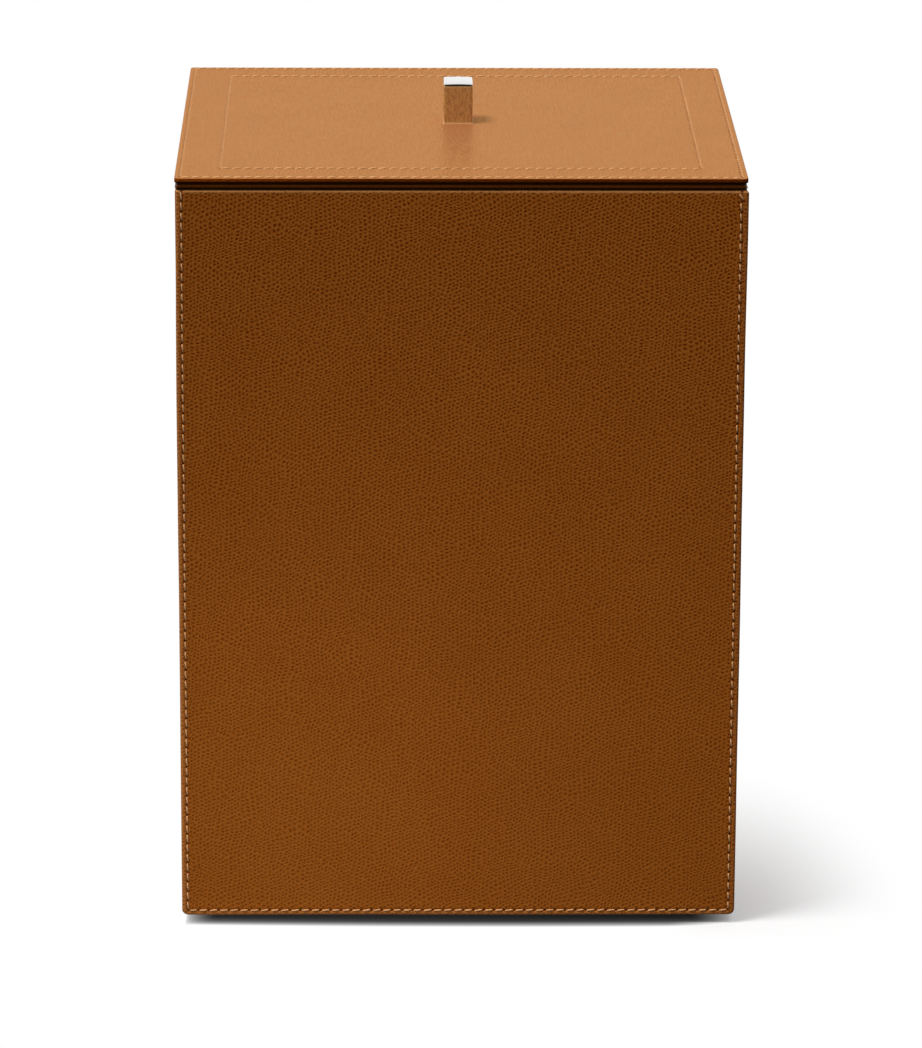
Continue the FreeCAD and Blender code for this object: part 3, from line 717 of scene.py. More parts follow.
def wallRows():
    look = wallLook
    faceTop = wallHeight - look["rimRound"]
    heights = edgeStations(look["hemSeam"])
    nearRim = [faceTop - d * mm for d in look["nearRim"]]
    heights += evenSteps(heights[-1], nearRim[0], look["step"]) + nearRim
    rows = [(0.0, z, -1.0, 0.0) for z in heights]
    r = look["rimRound"]
    for sine, cosine in quarterTurn(6):
        rows.append((r - r * cosine, faceTop + r * sine, -cosine, sine))
    r = look["innerRound"]
    for y in [skin + 0.04 * mm] + [d * mm for d in look["overRim"]] + [wallThick - r]:
        rows.append((y, wallHeight, 0.0, 1.0))
    for sine, cosine in quarterTurn(4):
        rows.append((wallThick - r + r * sine, wallHeight - r + r * cosine, sine, cosine))
    for z in [d * mm for d in look["downInside"]] + [look["turnDown"]]:
        rows.append((wallThick, wallHeight - z, 1.0, 0.0))
    return rows


def seamRelief(distance, seam, roll):
    return setBack(distance, roll) - sewnRise(wallLook, distance, seam)


# the side edges stand out a little, the left one most at two thirds of its height, the right one upwards
def edgeSpring(climb, toRight):
    if toRight:
        return 0.3 + 0.5 * climb + 0.6 * smoothStep(4 * climb - 3)
    return hump(climb - 0.7, 0.24) - smoothStep(5 * climb - 4)


def shapeWall(side, half, overlaps, seed):
    look = wallLook
    bm = bmesh.new()
    sheetMap = bm.loops.layers.uv.new("sheet")
    seamMap = bm.loops.layers.uv.new("seam")
    rubAndLightShare = bm.verts.layers.float.new("edge")
    rows = wallRows()
    lengths = pathLengths(rows)
    near = edgeStations(look["sideSeam"])
    columns = [-half + d for d in near]
    columns += evenSteps(columns[-1], -columns[-1], look["step"]) + [half - d for d in reversed(near)]
    outer = sheetGrid(bm, len(columns), len(rows))
    outerFaces = set(bm.faces)
    inner = sheetGrid(bm, len(columns), len(rows))
    bmesh.ops.reverse_faces(bm, faces=[f for f in bm.faces if f not in outerFaces])
    flat = {}
    fullHalf = half if overlaps else half + skin
    fadeStart, fadeLength = look["faceFade"]
    dip, dipReach = look["mitreDip"]
    hemWave, hemShare = look["hemWave"]
    rimHighlight, sideRubAndLight = look["rimHighlight"], look["sideRubAndLight"]
    for vert, (column, row) in list(outer.items()) + list(inner.items()):
        y, z, outY, outZ = rows[row]
        x = columns[column]
        flat[vert] = (x, lengths[row])
        sideGap = half - abs(x)
        onFace = smoothStep((wallHeight + fadeStart - lengths[row]) / fadeLength)
        lower = row < len(rows) // 2
        ringGap = min(sideGap, z) if lower else sideGap
        if sideGap < look["cornerRound"] and z < look["cornerRound"] and outY < 0:
            corner = Vector((look["cornerRound"] - sideGap, look["cornerRound"] - z))
            reach = max(corner)
            corner = corner.normalized() * reach if corner.length else corner
            ringGap = look["cornerRound"] - reach
            x = math.copysign(half - look["cornerRound"] + corner.x, x)
            z = look["cornerRound"] - corner.y
            inward = seamRelief(ringGap, look["sideSeam"], look["roll"])
        else:
            nearer = (sideGap - look["sideSeam"]) - (z - look["hemSeam"])
            byHem = smoothStep(nearer / look["seamBlend"] + 0.5)
            inward = seamRelief(sideGap, look["sideSeam"], look["roll"]) * (1 - byHem)
            inward += seamRelief(z, look["hemSeam"], look["hemRoll"]) * byHem if outY < 0 else 0.0
        inward *= onFace
        inward += (1 - onFace) * dip * smoothStep(1 - sideGap / dipReach)
        drift = 0.0
        for wave, share in look["rippleWaves"]:
            drift += share * noise.noise(Vector((x * wave, z * wave, seed)))
        inward += look["ripple"] * drift * onFace * smoothStep(ringGap / look["rippleInset"])
        # the turned top is mitred at both ends
        if y > skin + 0.01 * mm:
            x *= (fullHalf - y) / half
        if overlaps:
            sway = 0.0
            for tall, wide, share in look["swayWaves"]:
                sway += share * look["wobble"] * noise.noise(Vector((z * tall, seed, x * wide)))
            sway += look["flare"][side][x > 0] * mm * edgeSpring(z / wallHeight, x > 0)
            x += math.copysign(1, x) * sway * hump(sideGap, look["flareReach"]) * onFace
        lift = noise.noise(Vector((x * hemWave, seed + 5.3, 0.0)))
        if lower:
            z += (look["wobble"] * hemShare * lift - look["hemDrop"]) * hump(z, look["hemReach"])
        if vert in outer:
            # painted highlight: the rolled rim is lightest, catching the light, more so near its ends than in the
            # middle under the lid's overhang; the side edges lighten too, partly wear, partly painted highlight,
            # the left edge more than the right one
            rolled = rimHighlight["most"] - rimHighlight["less"] * hump(x, rimHighlight["middle"])
            rolled *= hump(lengths[row] - wallHeight + rimHighlight["below"], rimHighlight["spread"])
            beside = smoothStep(1 - ringGap / sideRubAndLight["reach"])
            if x > 0 and sideGap < ringGap + 0.1 * mm:
                beside *= sideRubAndLight["share"] * smoothStep((sideGap - sideRubAndLight["start"]) / sideRubAndLight["rise"])
            vert[rubAndLightShare] = max(rolled, onFace * beside + (1 - onFace) * 0.5)
            vert.co = (x, y - outY * inward, z - outZ * inward)
        else:
            vert.co = (x, min(max(y, skin), wallThick - liningSkin), min(z, wallHeight - skin))
    rim = [e for e in bm.edges if e.is_boundary]
    bmesh.ops.bridge_loops(bm, edges=rim)
    sewn = seamCounts(half)
    for face in bm.faces:
        own = face in outerFaces
        spots = [flat[loop.vert] for loop in face.loops]
        u = sum(s[0] for s in spots) / len(spots)
        v = sum(s[1] for s in spots) / len(spots)
        hem = v - look["hemSeam"] < half - abs(u) - look["sideSeam"]
        for loop, (su, sv) in zip(face.loops, spots):
            loop[sheetMap].uv = (su + seed * 0.37, sv)
            if not own or v > wallHeight:
                loop[seamMap].uv = (0.5, 1.0)
            elif hem:
                loop[seamMap].uv = ((su + half - look["sideSeam"]) / sewn["hemPitch"], sv - look["hemSeam"])
            else:
                loop[seamMap].uv = ((sv - look["hemSeam"]) / sewn["sidePitch"],
                                    half - abs(su) - look["sideSeam"])
    bmesh.ops.remove_doubles(bm, verts=bm.verts, dist=1e-6)
    bmesh.ops.recalc_face_normals(bm, faces=bm.faces)
    return bm


def seamCounts(half):
    look = wallLook
    hemLength = 2 * (half - look["sideSeam"])
    sideLength = wallHeight - look["seamTop"] - look["hemSeam"]
    hemCount = round(hemLength / threadLook["pitch"])
    sideCount = round(sideLength / threadLook["pitch"])
    return {"hem": hemCount, "side": sideCount, "hemPitch": hemLength / hemCount,
            "sidePitch": sideLength / sideCount, "sideLength": sideLength}


def dressWall(side, turn, seed):
    overlaps = side in ("front", "back")
    half = frontHigh.x if overlaps else rightHigh.y
    faceOut = -frontLow.y if overlaps else rightHigh.x
    turned = Matrix.Rotation(math.radians(turn), 4, "Z")
    place = Matrix.Translation((0, 0, frontLow.z)) @ turned @ Matrix.Translation((0, -faceOut, 0))
    bm = shapeWall(side, half, overlaps, seed)
    bmesh.ops.transform(bm, matrix=place, verts=bm.verts)
    finishPiece(bm, side + "_leather_sheet", "box", [bodyLeather], [side + "_leather"])
    sewn = seamCounts(half)
    seamX = half - wallLook["sideSeam"]
    low = wallLook["hemSeam"]
    high = low + sewn["sideLength"]
    corners = [(-seamX, 0, high), (-seamX, 0, low), (seamX, 0, low), (seamX, 0, high)]
    counts = [sewn["side"], sewn["hem"], sewn["side"]]
    outward = turned.to_3x3() @ Vector((0, -1, 0))
    runs = []
    for i, count in enumerate(counts):
        runs.append({"start": place @ Vector(corners[i]), "end": place @ Vector(corners[i + 1]),
                     "outward": outward, "count": count, "lift": wallLook["stitchLift"][overlaps]})
    runs[2]["steepEnd"] = wallLook["steepEnd"]
    sewRuns(side + "_stitching", "box", runs, seed)


for seed, (side, turn) in enumerate(wallLook["turns"].items()):
    dressWall(side, turn, seed + 1)
print("walls dressed")


# lid top: leather drawn over a stiffener, rolled at the edge, with an edge seam and a framed panel
lidTopLook = {
    "edgeRound": 0.5 * mm,
    "underRound": 0.6 * mm,
    "edgeLevels": [0.8, 1.05, 1.3, 1.55, 1.8],
    "corner": 2.5 * mm,
    "edgeSeam": 3.0 * mm,
    "panelSeam": 23.5 * mm,
    "seamDepth": 0.22 * mm,
    "panelDepth": 0.19 * mm,
    "seamSpread": 0.55 * mm,
    "puff": 0.13 * mm,
    "panelSwells": [(-2.2 * mm, 1.4 * mm, 0.5), (2.2 * mm, 1.6 * mm, 0.6)],
    "ripple": 0.07 * mm,
    "rippleWave": 18,
    "rippleFade": (4.0 * mm, 10.0 * mm),
    "rubAndLightReach": 3.0 * mm,
    "darker": {"left": 0.3, "right": 0.35, "from": 0.9, "over": 0.7},
    "paintAndShadeSteps": [(0.02, 0.28), (1.3, 0.9)],
    "stitchSlant": math.radians(18),
    "frontStitch": {"fat": 1.25, "tall": 0.48, "reach": 0.9, "lift": 0.17 * mm},
    "sideStitch": {"fat": 0.8, "tall": 0.45, "reach": 0.8, "lift": 0.30 * mm},
    "step": 9.0 * mm,
    "nearEdge": [0.8, 1.2, 1.6, 1.95, 2.25],
    "inside": [2.5, 2.75, 3.0, 3.25, 3.55, 3.95, 4.6, 5.8, 8.0, 12.0, 17.0, 20.0, 21.6, 22.4, 22.9, 23.2,
               23.5, 23.8, 24.1, 24.6, 25.6, 27.5, 31.0, 38.0],
}
lidLow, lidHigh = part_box("lid_top_leather")
lidSkin = lidHigh.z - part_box("lid_stiffener")[1].z


def lidRelief(distance):
    look = lidTopLook
    rise = sewnRise(look, distance, look["edgeSeam"])
    rise -= look["panelDepth"] * hump(distance - look["panelSeam"], look["seamSpread"])
    for beyond, spread, share in look["panelSwells"]:
        rise += share * look["puff"] * hump(distance - look["panelSeam"] - beyond, spread)
    return rise


# rings from the hidden inner lip, under and round the edge, to the flat top: inset, height, way along
def lidRings():
    look = lidTopLook
    thick = lidHigh.z - lidLow.z
    rings = [(lidSkin, thick - lidSkin), (lidSkin, 0.0)]
    r = look["underRound"]
    rings += [(r - r * sine, r - r * cosine) for sine, cosine in quarterTurn(3, 0)]
    rings += [(0.0, z * mm) for z in look["edgeLevels"]]
    r = look["edgeRound"]
    rings += [(r - r * cosine, thick - r + r * sine) for sine, cosine in quarterTurn(5, 0)]
    rings += [(inset * mm, thick) for inset in look["nearEdge"]]
    ways = pathLengths(rings[::-1])[::-1]
    return [(inset, z, way) for (inset, z), way in zip(rings, ways)]


def shapeLidTop():
    look = lidTopLook
    bm = bmesh.new()
    sheetMap = bm.loops.layers.uv.new("sheet")
    seamMap = bm.loops.layers.uv.new("seam")
    rubAndLightShare = bm.verts.layers.float.new("edge")
    paintAndShadeShare = bm.verts.layers.float.new("paintAndShade")
    rings = lidRings()
    depthIn = len(rings)
    flatTop = lidHigh.z
    stations = []
    for half in (lidHigh.x, lidHigh.y):
        near = [half - d * mm for d in look["inside"]]
        stations.append([-d for d in near] + evenSteps(-near[-1], near[-1], look["step"]) + near[::-1])
    counts = [len(s) + 2 * depthIn for s in stations]
    spots = sheetGrid(bm, counts[0], counts[1])
    wave = look["rippleWave"]
    fadeStart, fadeLength = look["rippleFade"]
    darker = look["darker"]
    flat = {}
    for vert, spot in spots.items():
        steps = [0, 0]
        place = [0.0, 0.0]
        for axis in (0, 1):
            index = spot[axis]
            half = (lidHigh.x, lidHigh.y)[axis]
            fromEnd = counts[axis] - 1 - index
            if index < depthIn or fromEnd < depthIn:
                steps[axis] = depthIn - min(index, fromEnd)
                place[axis] = math.copysign(half - look["corner"], index - fromEnd)
            else:
                place[axis] = stations[axis][index - depthIn]
        reach = max(steps)
        if reach == 0:
            gap = min(lidHigh.x - abs(place[0]), lidHigh.y - abs(place[1]))
            drift = noise.noise(Vector((place[0] * wave, place[1] * wave, 3.7)))
            rise = lidRelief(gap) + look["ripple"] * drift * smoothStep((gap - fadeStart) / fadeLength)
            vert.co = (place[0], place[1], flatTop + rise)
            flat[vert] = (place[0], place[1])
            # the top lightens towards its rolled edge
            vert[rubAndLightShare] = smoothStep(1 - gap / look["rubAndLightReach"]) * 0.5
            continue
        inset, z, way = rings[depthIn - reach]
        outward = Vector((0.0, 0.0))
        for axis in (0, 1):
            if steps[axis]:
                outward[axis] = math.copysign(steps[axis], spot[axis] * 2 - counts[axis] + 1)
        outward.normalize()
        gone = outward * (look["corner"] - inset)
        rise = lidRelief(inset) if z > 0.9 * (flatTop - lidLow.z) else 0.0
        vert.co = (place[0] + gone.x, place[1] + gone.y, lidLow.z + z + rise)
        spread = outward * (look["corner"] - rings[-1][0] + way)
        flat[vert] = (place[0] + spread.x, place[1] + spread.y)
        # the rolled edge is lightest
        vert[rubAndLightShare] = 1.0 if inset < 1.0 * mm else smoothStep(1 - inset / look["rubAndLightReach"])
        # partly edge paint, partly painted shade: the edge darkens downwards under its rounding, and towards the
        # right, away from the light
        below = (flatTop - lidLow.z - z) / mm
        toRight = smoothStep((vert.co.x / lidHigh.x + darker["from"]) / darker["over"])
        shaded = darker["left"] + darker["right"] * toRight
        upper, foot = [smoothStep((below - start) / length) for start, length in look["paintAndShadeSteps"]]
        vert[paintAndShadeShare] = shaded * upper + (1 - shaded) * foot
    for face in bm.faces:
        corners = [flat[loop.vert] for loop in face.loops]
        u = sum(c[0] for c in corners) / 4
        v = sum(c[1] for c in corners) / 4
        gapX, gapY = lidHigh.x - abs(u), lidHigh.y - abs(v)
        gap = min(gapX, gapY)
        seam = look["edgeSeam"] if gap < 12 * mm else look["panelSeam"]
        alongX = gapY < gapX
        runHalf = (lidHigh.x if alongX else lidHigh.y) - seam
        pitch = 2 * runHalf / round(2 * runHalf / threadLook["pitch"])
        for loop, (su, sv) in zip(face.loops, corners):
            loop[sheetMap].uv = (su, sv)
            across = (lidHigh.y - abs(sv) if alongX else lidHigh.x - abs(su)) - seam
            loop[seamMap].uv = (((su if alongX else sv) + runHalf) / pitch, across)
    lip = [e for e in bm.edges if e.is_boundary]
    closing = bmesh.ops.contextual_create(bm, geom=lip)["faces"]
    for face in closing:
        for loop in face.loops:
            loop[seamMap].uv = (0.5, 1.0)
    bmesh.ops.recalc_face_normals(bm, faces=bm.faces)
    return bm


# leather strip round the lid board, drawn in towards its lower edge
lidStripLook = {"thick": 1.0 * mm, "corner": 2.0 * mm, "proud": 0.3 * mm, "drawnIn": 0.3 * mm,
                "round": 0.5 * mm, "levels": 16, "topShadow": (1.3 * mm, 0.6 * mm),
                "footShade": (0.75 * mm, 0.35 * mm)}


def shapeLidStrip():
    look = lidStripLook
    low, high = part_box("lid_edge_leather")
    size, middle = high - low, (high + low) / 2
    bm = bmesh.new()
    paintAndShadeShare = bm.verts.layers.float.new("paintAndShade")
    addBlock(bm, size)
    roundEdges(bm, uprightEdges(bm, size.z), look["corner"], 4)
    ends = [f for f in bm.faces if abs(f.normal.z) > 0.9]
    bmesh.ops.inset_region(bm, faces=ends, thickness=look["thick"], depth=0.0)
    bmesh.ops.delete(bm, geom=ends, context="FACES")
    outerFaces = [f for f in bm.faces if abs(f.normal.z) < 0.5]
    bmesh.ops.bridge_loops(bm, edges=[e for e in bm.edges if e.is_boundary])
    outerVerts = {v for f in outerFaces for v in f.verts}
    for i in range(1, look["levels"]):
        wall = [f for f in bm.faces if abs(f.normal.z) < 0.5 and all(v in outerVerts for v in f.verts)]
        geom = list({e for f in wall for e in f.edges}) + wall + list({v for f in wall for v in f.verts})
        cut = bmesh.ops.bisect_plane(bm, geom=geom, plane_co=(0, 0, size.z * (i / look["levels"] - 0.5)),
                                     plane_no=(0, 0, 1))["geom_cut"]
        outerVerts |= {v for v in cut if isinstance(v, bmesh.types.BMVert)}
    # painted shade: the strip darkens at its top under the lid's overhang and at its foot into the gap; its hidden
    # inner faces are dark all over
    topStart, topLength = look["topShadow"]
    footStart, footLength = look["footShade"]
    for vert in outerVerts:
        up = vert.co.z + size.z / 2
        out = look["proud"] - (look["proud"] + look["drawnIn"]) * (1 - up / size.z)
        out -= setBack(up, look["round"]) + setBack(size.z - up, look["round"])
        vert.co.x += math.copysign(out, vert.co.x)
        vert.co.y += math.copysign(out, vert.co.y)
        vert[paintAndShadeShare] = smoothStep((up - topStart) / topLength) + smoothStep((footStart - up) / footLength)
    for vert in set(bm.verts) - outerVerts:
        vert[paintAndShadeShare] = 1.0
    bmesh.ops.translate(bm, vec=middle, verts=bm.verts)
    bmesh.ops.recalc_face_normals(bm, faces=bm.faces)
    return bm


def dressLid():
    look = lidTopLook
    finishPiece(shapeLidTop(), "lid_leather_sheet", "lid", [lidLeather], ["lid_top_leather"])
    finishPiece(shapeLidStrip(), "lid_edge_strip", "lid", [stripLeather], ["lid_edge_leather"])
    for name, inset, seed in (("lid_edge_stitching", look["edgeSeam"], 11),
                              ("lid_panel_stitching", look["panelSeam"], 12)):
        x, y = lidHigh.x - inset, lidHigh.y - inset
        corners = [(-x, -y), (x, -y), (x, y), (-x, y), (-x, -y)]
        runs = []
        for one, two in zip(corners, corners[1:]):
            length = math.dist(one, two)
            beside = one[0] == two[0]
            runs.append({"start": (*one, lidHigh.z), "end": (*two, lidHigh.z), "outward": (0, 0, 1),
                         "count": round(length / threadLook["pitch"]), "slant": look["stitchSlant"],
                         **look["sideStitch" if beside else "frontStitch"]})
        sewRuns(name, "lid", runs, seed)


dressLid()
print("lid dressed")


# knob: leather wrapped round the block and sewn shut at the back
knobWrapLook = {"corner": 1.0 * mm, "lip": 0.35 * mm, "bulge": 0.05 * mm, "seam": 0.45 * mm,
                "seamHalf": 0.35 * mm, "crinkle": 0.08 * mm, "cut": 1.15 * mm, "sunk": 0.35 * mm,
                "flare": 0.42 * mm, "flareHeight": 0.9 * mm, "tuck": 0.05 * mm, "levels": 16, "flareCuts": 5,
                "besideCuts": 7, "cutStep": 0.85 * mm, "rubAndLight": 1.6 * mm, "crinkleWaves": (420, 90)}


def shapeKnobWrap():
    look = knobWrapLook
    low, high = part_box("knob_leather")
    size = high - low
    middle = (high + low) / 2
    bm = bmesh.new()
    sheetMap = bm.loops.layers.uv.new("sheet")
    rubAndLightShare = bm.verts.layers.float.new("edge")
    addBlock(bm, size)
    roundEdges(bm, uprightEdges(bm, size.z), look["corner"], 5)
    roundEdges(bm, topEdges(bm), look["lip"], 3)
    top = [f for f in bm.faces if f.normal.z > 0.9 and f.calc_area() > 0.3 * size.x * size.y]
    bmesh.ops.inset_region(bm, faces=top, thickness=look["cut"] - look["lip"], depth=0.0)
    bmesh.ops.inset_region(bm, faces=top, thickness=look["tuck"], depth=-look["sunk"])
    # cuts across let the wrap bulge and crinkle, and cuts beside the back seam let it sink in
    levels = [size.z * i / look["levels"] for i in range(1, look["levels"])]
    levels += [look["flareHeight"] * i / look["flareCuts"] for i in range(1, look["flareCuts"])]
    for level in levels:
        sliceThrough(bm, (0, 0, level - size.z / 2), (0, 0, 1))
    for i in range(-look["besideCuts"], look["besideCuts"] + 1):
        for normal in ((1, 0, 0), (0, 1, 0)):
            sliceThrough(bm, Vector(normal) * i * look["cutStep"], normal)
    for x in (-look["seamHalf"], look["seamHalf"]):
        sliceThrough(bm, (x, 0, 0), (1, 0, 0))
    around, along = look["crinkleWaves"]
    inside = min(size.x, size.y) / 2 - look["cut"] + 0.1 * mm
    for vert in bm.verts:
        x, y, z = vert.co
        outer = max(abs(x), abs(y)) > inside
        # the wrap lightens near its top and its foot: partly wear, partly a painted highlight along the foot
        vert[rubAndLightShare] = smoothStep(1 - (size.z / 2 - abs(z)) / look["rubAndLight"]) if outer else 0.0
        if not outer:
            continue
        level = 1 - (2 * z / size.z) ** 2
        crinkle = noise.noise(Vector((x * around, y * around, z * along)))
        crinkle *= look["crinkle"] * smoothStep(level * 3)
        flare = max(0.0, 1 - (z + size.z / 2) / look["flareHeight"]) ** 2 * look["flare"]
        grow = (look["bulge"] * level - look["bulge"] + crinkle + flare) / (size.x / 2)
        vert.co.x *= 1 + grow
        vert.co.y *= 1 + grow
        if y > size.y / 2 - 0.3 * mm and abs(x) < 0.1 * mm:
            vert.co.y -= look["seam"]
    for face in bm.faces:
        for loop, turn in zip(face.loops, turnsAround(face)):
            loop[sheetMap].uv = (turn * 4 * size.x, loop.vert.co.z)
    bmesh.ops.translate(bm, vec=middle, verts=bm.verts)
    bmesh.ops.recalc_face_normals(bm, faces=bm.faces)
    return bm


# cap: an arched plate with leaning sides, on a neck coloured dark as painted shade under the plate
capLook = {"corner": 1.2 * mm, "round": 0.3 * mm, "lean": 0.22 * mm, "arch": 0.3 * mm, "plate": 0.95 * mm,
           "lower": 0.15 * mm, "neckIn": 0.6 * mm, "neckSunk": 0.3 * mm, "cuts": 12}


def shapeCap():
    look = capLook
    low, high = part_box("knob_cap")
    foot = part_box("knob_leather")[1].z - look["neckSunk"]
    crown = high.z - look["lower"]
    width = high.x - low.x
    bm = bmesh.new()
    addBlock(bm, (width, width, look["plate"]))
    for vert in bm.verts:
        if vert.co.z > 0:
            vert.co.x -= math.copysign(look["lean"], vert.co.x)
            vert.co.y -= math.copysign(look["lean"], vert.co.y)
    roundEdges(bm, uprightEdges(bm, look["plate"]), look["corner"], 6)
    roundEdges(bm, topEdges(bm), look["round"], 4)
    for i in range(1, look["cuts"]):
        sliceThrough(bm, (width * (i / look["cuts"] - 0.5), 0, 0), (1, 0, 0))
    for vert in bm.verts:
        vert.co.z += crown - look["plate"] / 2 - look["arch"] * (2 * vert.co.x / width) ** 2
    plateFaces = set(bm.faces)
    neckTop = crown - look["plate"]
    neckWide = width - 2 * look["neckIn"]
    neck = addBlock(bm, (neckWide, neckWide, neckTop - foot))
    bmesh.ops.translate(bm, vec=(0, 0, (neckTop + foot) / 2), verts=neck)
    for face in bm.faces:
        face.material_index = 0 if face in plateFaces else 1
    bmesh.ops.translate(bm, vec=((low.x + high.x) / 2, (low.y + high.y) / 2, 0), verts=bm.verts)
    bmesh.ops.recalc_face_normals(bm, faces=bm.faces)
    return bm


finishPiece(shapeKnobWrap(), "knob_leather_wrap", "lid", [knobLeather], ["knob_leather"])
finishPiece(shapeCap(), "knob_cap_plate", "lid",
            [finishes["polishedMetal"], finishes["capNeck"]], ["knob_cap"])
bpy.data.meshes.remove(stitchShape)
print("knob dressed")

# stage: a plain pale floor, soft light from above and from the front left, white surroundings
stageLook = {"floorSize": 14.0, "bounce": 0.10, "room": 0.10, "shadowShare": 0.66, "shadowWide": 0.105,
             "shadowDeep": 0.27, "shadowLeft": (-0.4, 0.0), "shadowFront": (-0.12, 0.0),
             "underFront": (-13.0 * mm, 5.9 * mm), "underBow": 0.10, "underMiddle": 45.0 * mm,
             "underLeft": (-2.0 * mm, -18.5 * mm), "underRight": (3.0 * mm, -24.0 * mm), "clearPower": 5.0,
             "endPower": 0.17, "underDim": (-6.5 * mm, -2.5 * mm), "dimShares": (0.62, 0.05)}


def makeSeenShare(tree):
    path = addNode(tree, "LightPath").outputs
    seen = calc(tree, "MAXIMUM", path["Is Camera Ray"], path["Is Glossy Ray"])
    return calc(tree, "MAXIMUM", seen, path["Is Transmission Ray"])


def makeFloor():
    bm = bmesh.new()
    bmesh.ops.create_grid(bm, x_segments=8, y_segments=8, size=stageLook["floorSize"] / 2)
    mesh = bpy.data.meshes.new("floor")
    bm.to_mesh(mesh)
    bm.free()
    floor = bpy.data.objects.new("floor", mesh)
    bpy.context.scene.collection.objects.link(floor)
    material = bpy.data.materials.new("paleFloor")
    material.use_nodes = True
    tree = material.node_tree
    tree.nodes.clear()
    seen = makeSeenShare(tree)
    # shading shows under the box and to its right, and fades into white further out and to the back
    where = addNode(tree, "TexCoord").outputs["Object"]
    parts = addNode(tree, "SeparateXYZ", {"Vector": where}).outputs
    pastFront = calc(tree, "SUBTRACT", calc(tree, "ABSOLUTE", parts["Y"]), cadBox[1].y)
    pastLeft = calc(tree, "SUBTRACT", cadBox[0].x, parts["X"])
    pastRight = calc(tree, "SUBTRACT", parts["X"], cadBox[1].x)
    # the contact shadow is deepest in the middle and clears slowly towards the front
    across = calc(tree, "SUBTRACT", parts["X"], stageLook["underMiddle"])
    bow = times(tree, times(tree, across, across), stageLook["underBow"])
    clear = ramp(tree, calc(tree, "ADD", pastFront, bow), stageLook["underFront"])
    under = calc(tree, "SUBTRACT", 1.0, calc(tree, "POWER", clear, stageLook["clearPower"]))
    for past, end in ((pastLeft, "underLeft"), (pastRight, "underRight")):
        fromEnd = calc(tree, "POWER", remap(tree, past, stageLook[end]), stageLook["endPower"])
        under = times(tree, under, fromEnd)
    beside = vectorCalc(tree, "SUBTRACT", where, (cadBox[1].x, cadBox[0].y, 0.0))
    beside = vectorCalc(tree, "DIVIDE", beside, (stageLook["shadowWide"], stageLook["shadowDeep"], 1.0))
    outward = addNode(tree, "SeparateXYZ", {"Vector": beside}).outputs
    reach = addNode(tree, "VectorMath", {0: vectorCalc(tree, "MAXIMUM", beside, (0.0, 0.0, 0.0))},
                    operation="LENGTH").outputs["Value"]
    shade = remap(tree, reach, (1.0, 0.0), (0.0, stageLook["shadowShare"]))
    for axis, end in (("X", "shadowLeft"), ("Y", "shadowFront")):
        shade = times(tree, shade, remap(tree, outward[axis], stageLook[end]))
    # painted shadow: the floor's colour darkens towards the box's front and back edges
    dimmed = remap(tree, pastFront, stageLook["underDim"], stageLook["dimShares"])
    shown = calc(tree, "MAXIMUM", times(tree, under, dimmed), shade)
    bounce = addNode(tree, "RGB").outputs[0]
    bounce.default_value = (stageLook["bounce"], stageLook["bounce"], stageLook["bounce"], 1.0)
    shown = addNode(tree, "CombineColor", {"Red": shown, "Green": shown, "Blue": shown}).outputs[0]
    lit = addNode(tree, "BsdfDiffuse", {"Color": mixColour(tree, seen, bounce, shown)})
    # painted light: to the camera and in reflections the floor glows white, less where its shadows show, so they
    # fade away from the box
    glowLevel = calc(tree, "SUBTRACT", 1.0, calc(tree, "MAXIMUM", under, shade))
    glowLevel = times(tree, glowLevel, seen)
    glow = addNode(tree, "Emission", {"Color": (1, 1, 1, 1), "Strength": glowLevel})
    both = addNode(tree, "AddShader", {0: lit.outputs[0], 1: glow.outputs[0]})
    out = addNode(tree, "OutputMaterial", {"Surface": both.outputs[0]})
    out.is_active_output = True
    mesh.materials.append(material)


def makeRoom():
    world = bpy.data.worlds.new("paleRoom")
    bpy.context.scene.world = world
    world.use_nodes = True
    tree = world.node_tree
    tree.nodes.clear()
    dim = addNode(tree, "Background", {"Color": (1, 1, 1, 1), "Strength": stageLook["room"]})
    white = addNode(tree, "Background", {"Color": (1, 1, 1, 1), "Strength": 1.0})
    mixed = addNode(tree, "MixShader", {0: makeSeenShare(tree), 1: dim.outputs[0], 2: white.outputs[0]})
    addNode(tree, "OutputWorld", {"Surface": mixed.outputs[0]})


# suns shine from an azimuth, counted from the front towards the left, and a height, in degrees
sunLook = {
    "keyLight": {"azimuth": 68, "height": 64, "softness": 17, "strength": 2.0},
    "overhead": {"azimuth": 60, "height": 84, "softness": 75, "strength": 1.1},
}
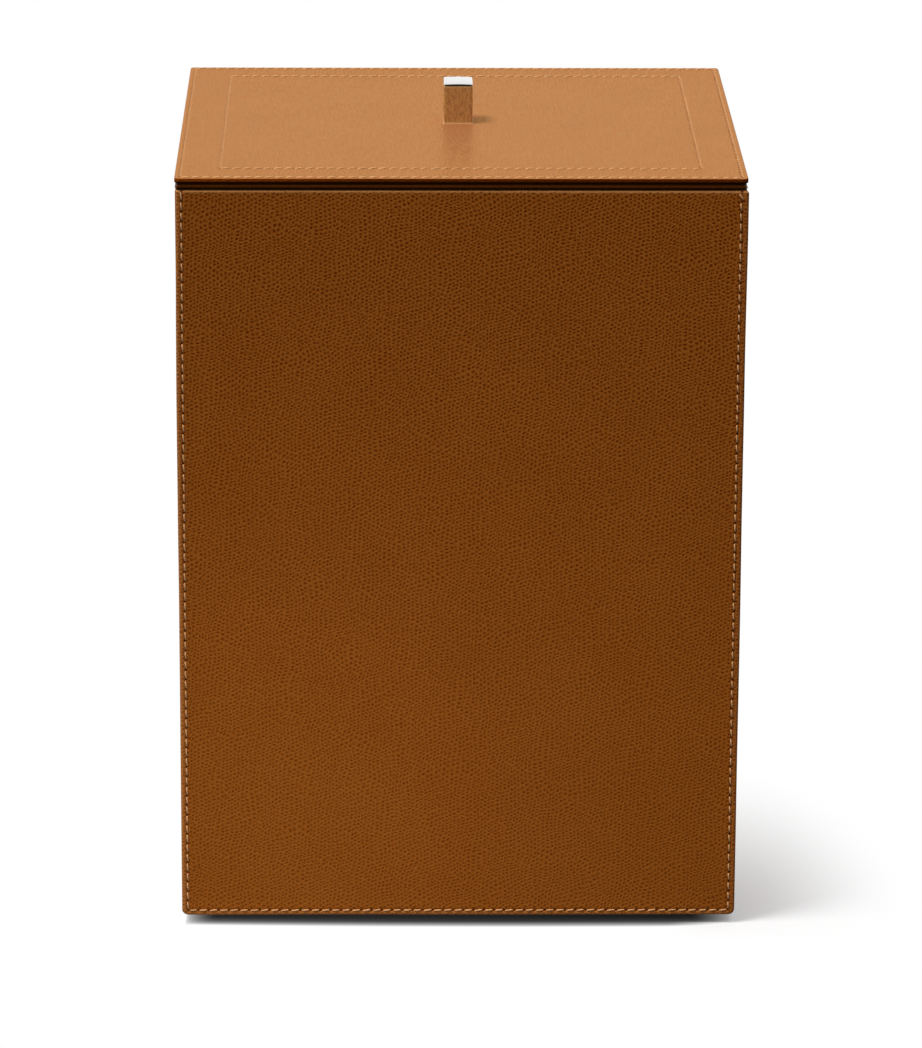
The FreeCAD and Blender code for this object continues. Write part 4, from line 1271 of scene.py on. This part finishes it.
# low lamps near the floor lift the walls without reaching the lid
fillLook = {
    "frontFill": {"place": (-0.12, -0.42, 0.03), "aim": (-0.05, -0.139, 0.03), "size": 0.20, "power": 0.205},
    "backFill": {"place": (0.75, 0.85, 0.15), "aim": (0.0, 0.0, 0.2), "size": 0.5, "power": 2.4},
}


def linkLamp(name, lamp, place, facing):
    holder = bpy.data.objects.new(name, lamp)
    holder.location = place
    holder.rotation_euler = facing.to_track_quat("Z", "Y").to_euler()
    holder.visible_camera = False
    holder.visible_glossy = False
    bpy.context.scene.collection.objects.link(holder)


def makeLamps():
    for name, look in sunLook.items():
        lamp = bpy.data.lights.new(name, "SUN")
        lamp.energy = look["strength"]
        lamp.angle = math.radians(look["softness"])
        azimuth, height = math.radians(look["azimuth"]), math.radians(look["height"])
        source = Vector((-math.sin(azimuth) * math.cos(height), -math.cos(azimuth) * math.cos(height),
                         math.sin(height)))
        linkLamp(name, lamp, source * 3, source)
    for name, look in fillLook.items():
        lamp = bpy.data.lights.new(name, "AREA")
        lamp.shape = "DISK"
        lamp.size = look["size"]
        lamp.energy = look["power"]
        linkLamp(name, lamp, look["place"], Vector(look["place"]) - Vector(look["aim"]))


# camera fitted to the corners of the box and the lid in the photograph
cameraLook = {"place": (-0.04415, -3.02198, 1.08624), "pitch": 16.601, "yaw": 0.888, "roll": 0.265,
              "lens": 193.97}


def makeCamera():
    view = bpy.data.cameras.new("photoView")
    view.lens = cameraLook["lens"]
    view.sensor_width = 36.0
    view.clip_end = 100.0
    holder = bpy.data.objects.new("photoView", view)
    turn = Matrix.Rotation(math.radians(-cameraLook["yaw"]), 4, "Z")
    tip = Matrix.Rotation(math.radians(90 - cameraLook["pitch"]), 4, "X")
    roll = Matrix.Rotation(math.radians(cameraLook["roll"]), 4, "Z")
    holder.matrix_world = Matrix.Translation(cameraLook["place"]) @ turn @ tip @ roll
    bpy.context.scene.collection.objects.link(holder)
    bpy.context.scene.camera = holder


makeFloor()
makeRoom()
makeLamps()
makeCamera()
bpy.context.scene.view_settings.view_transform = "Standard"
print("stage ready")
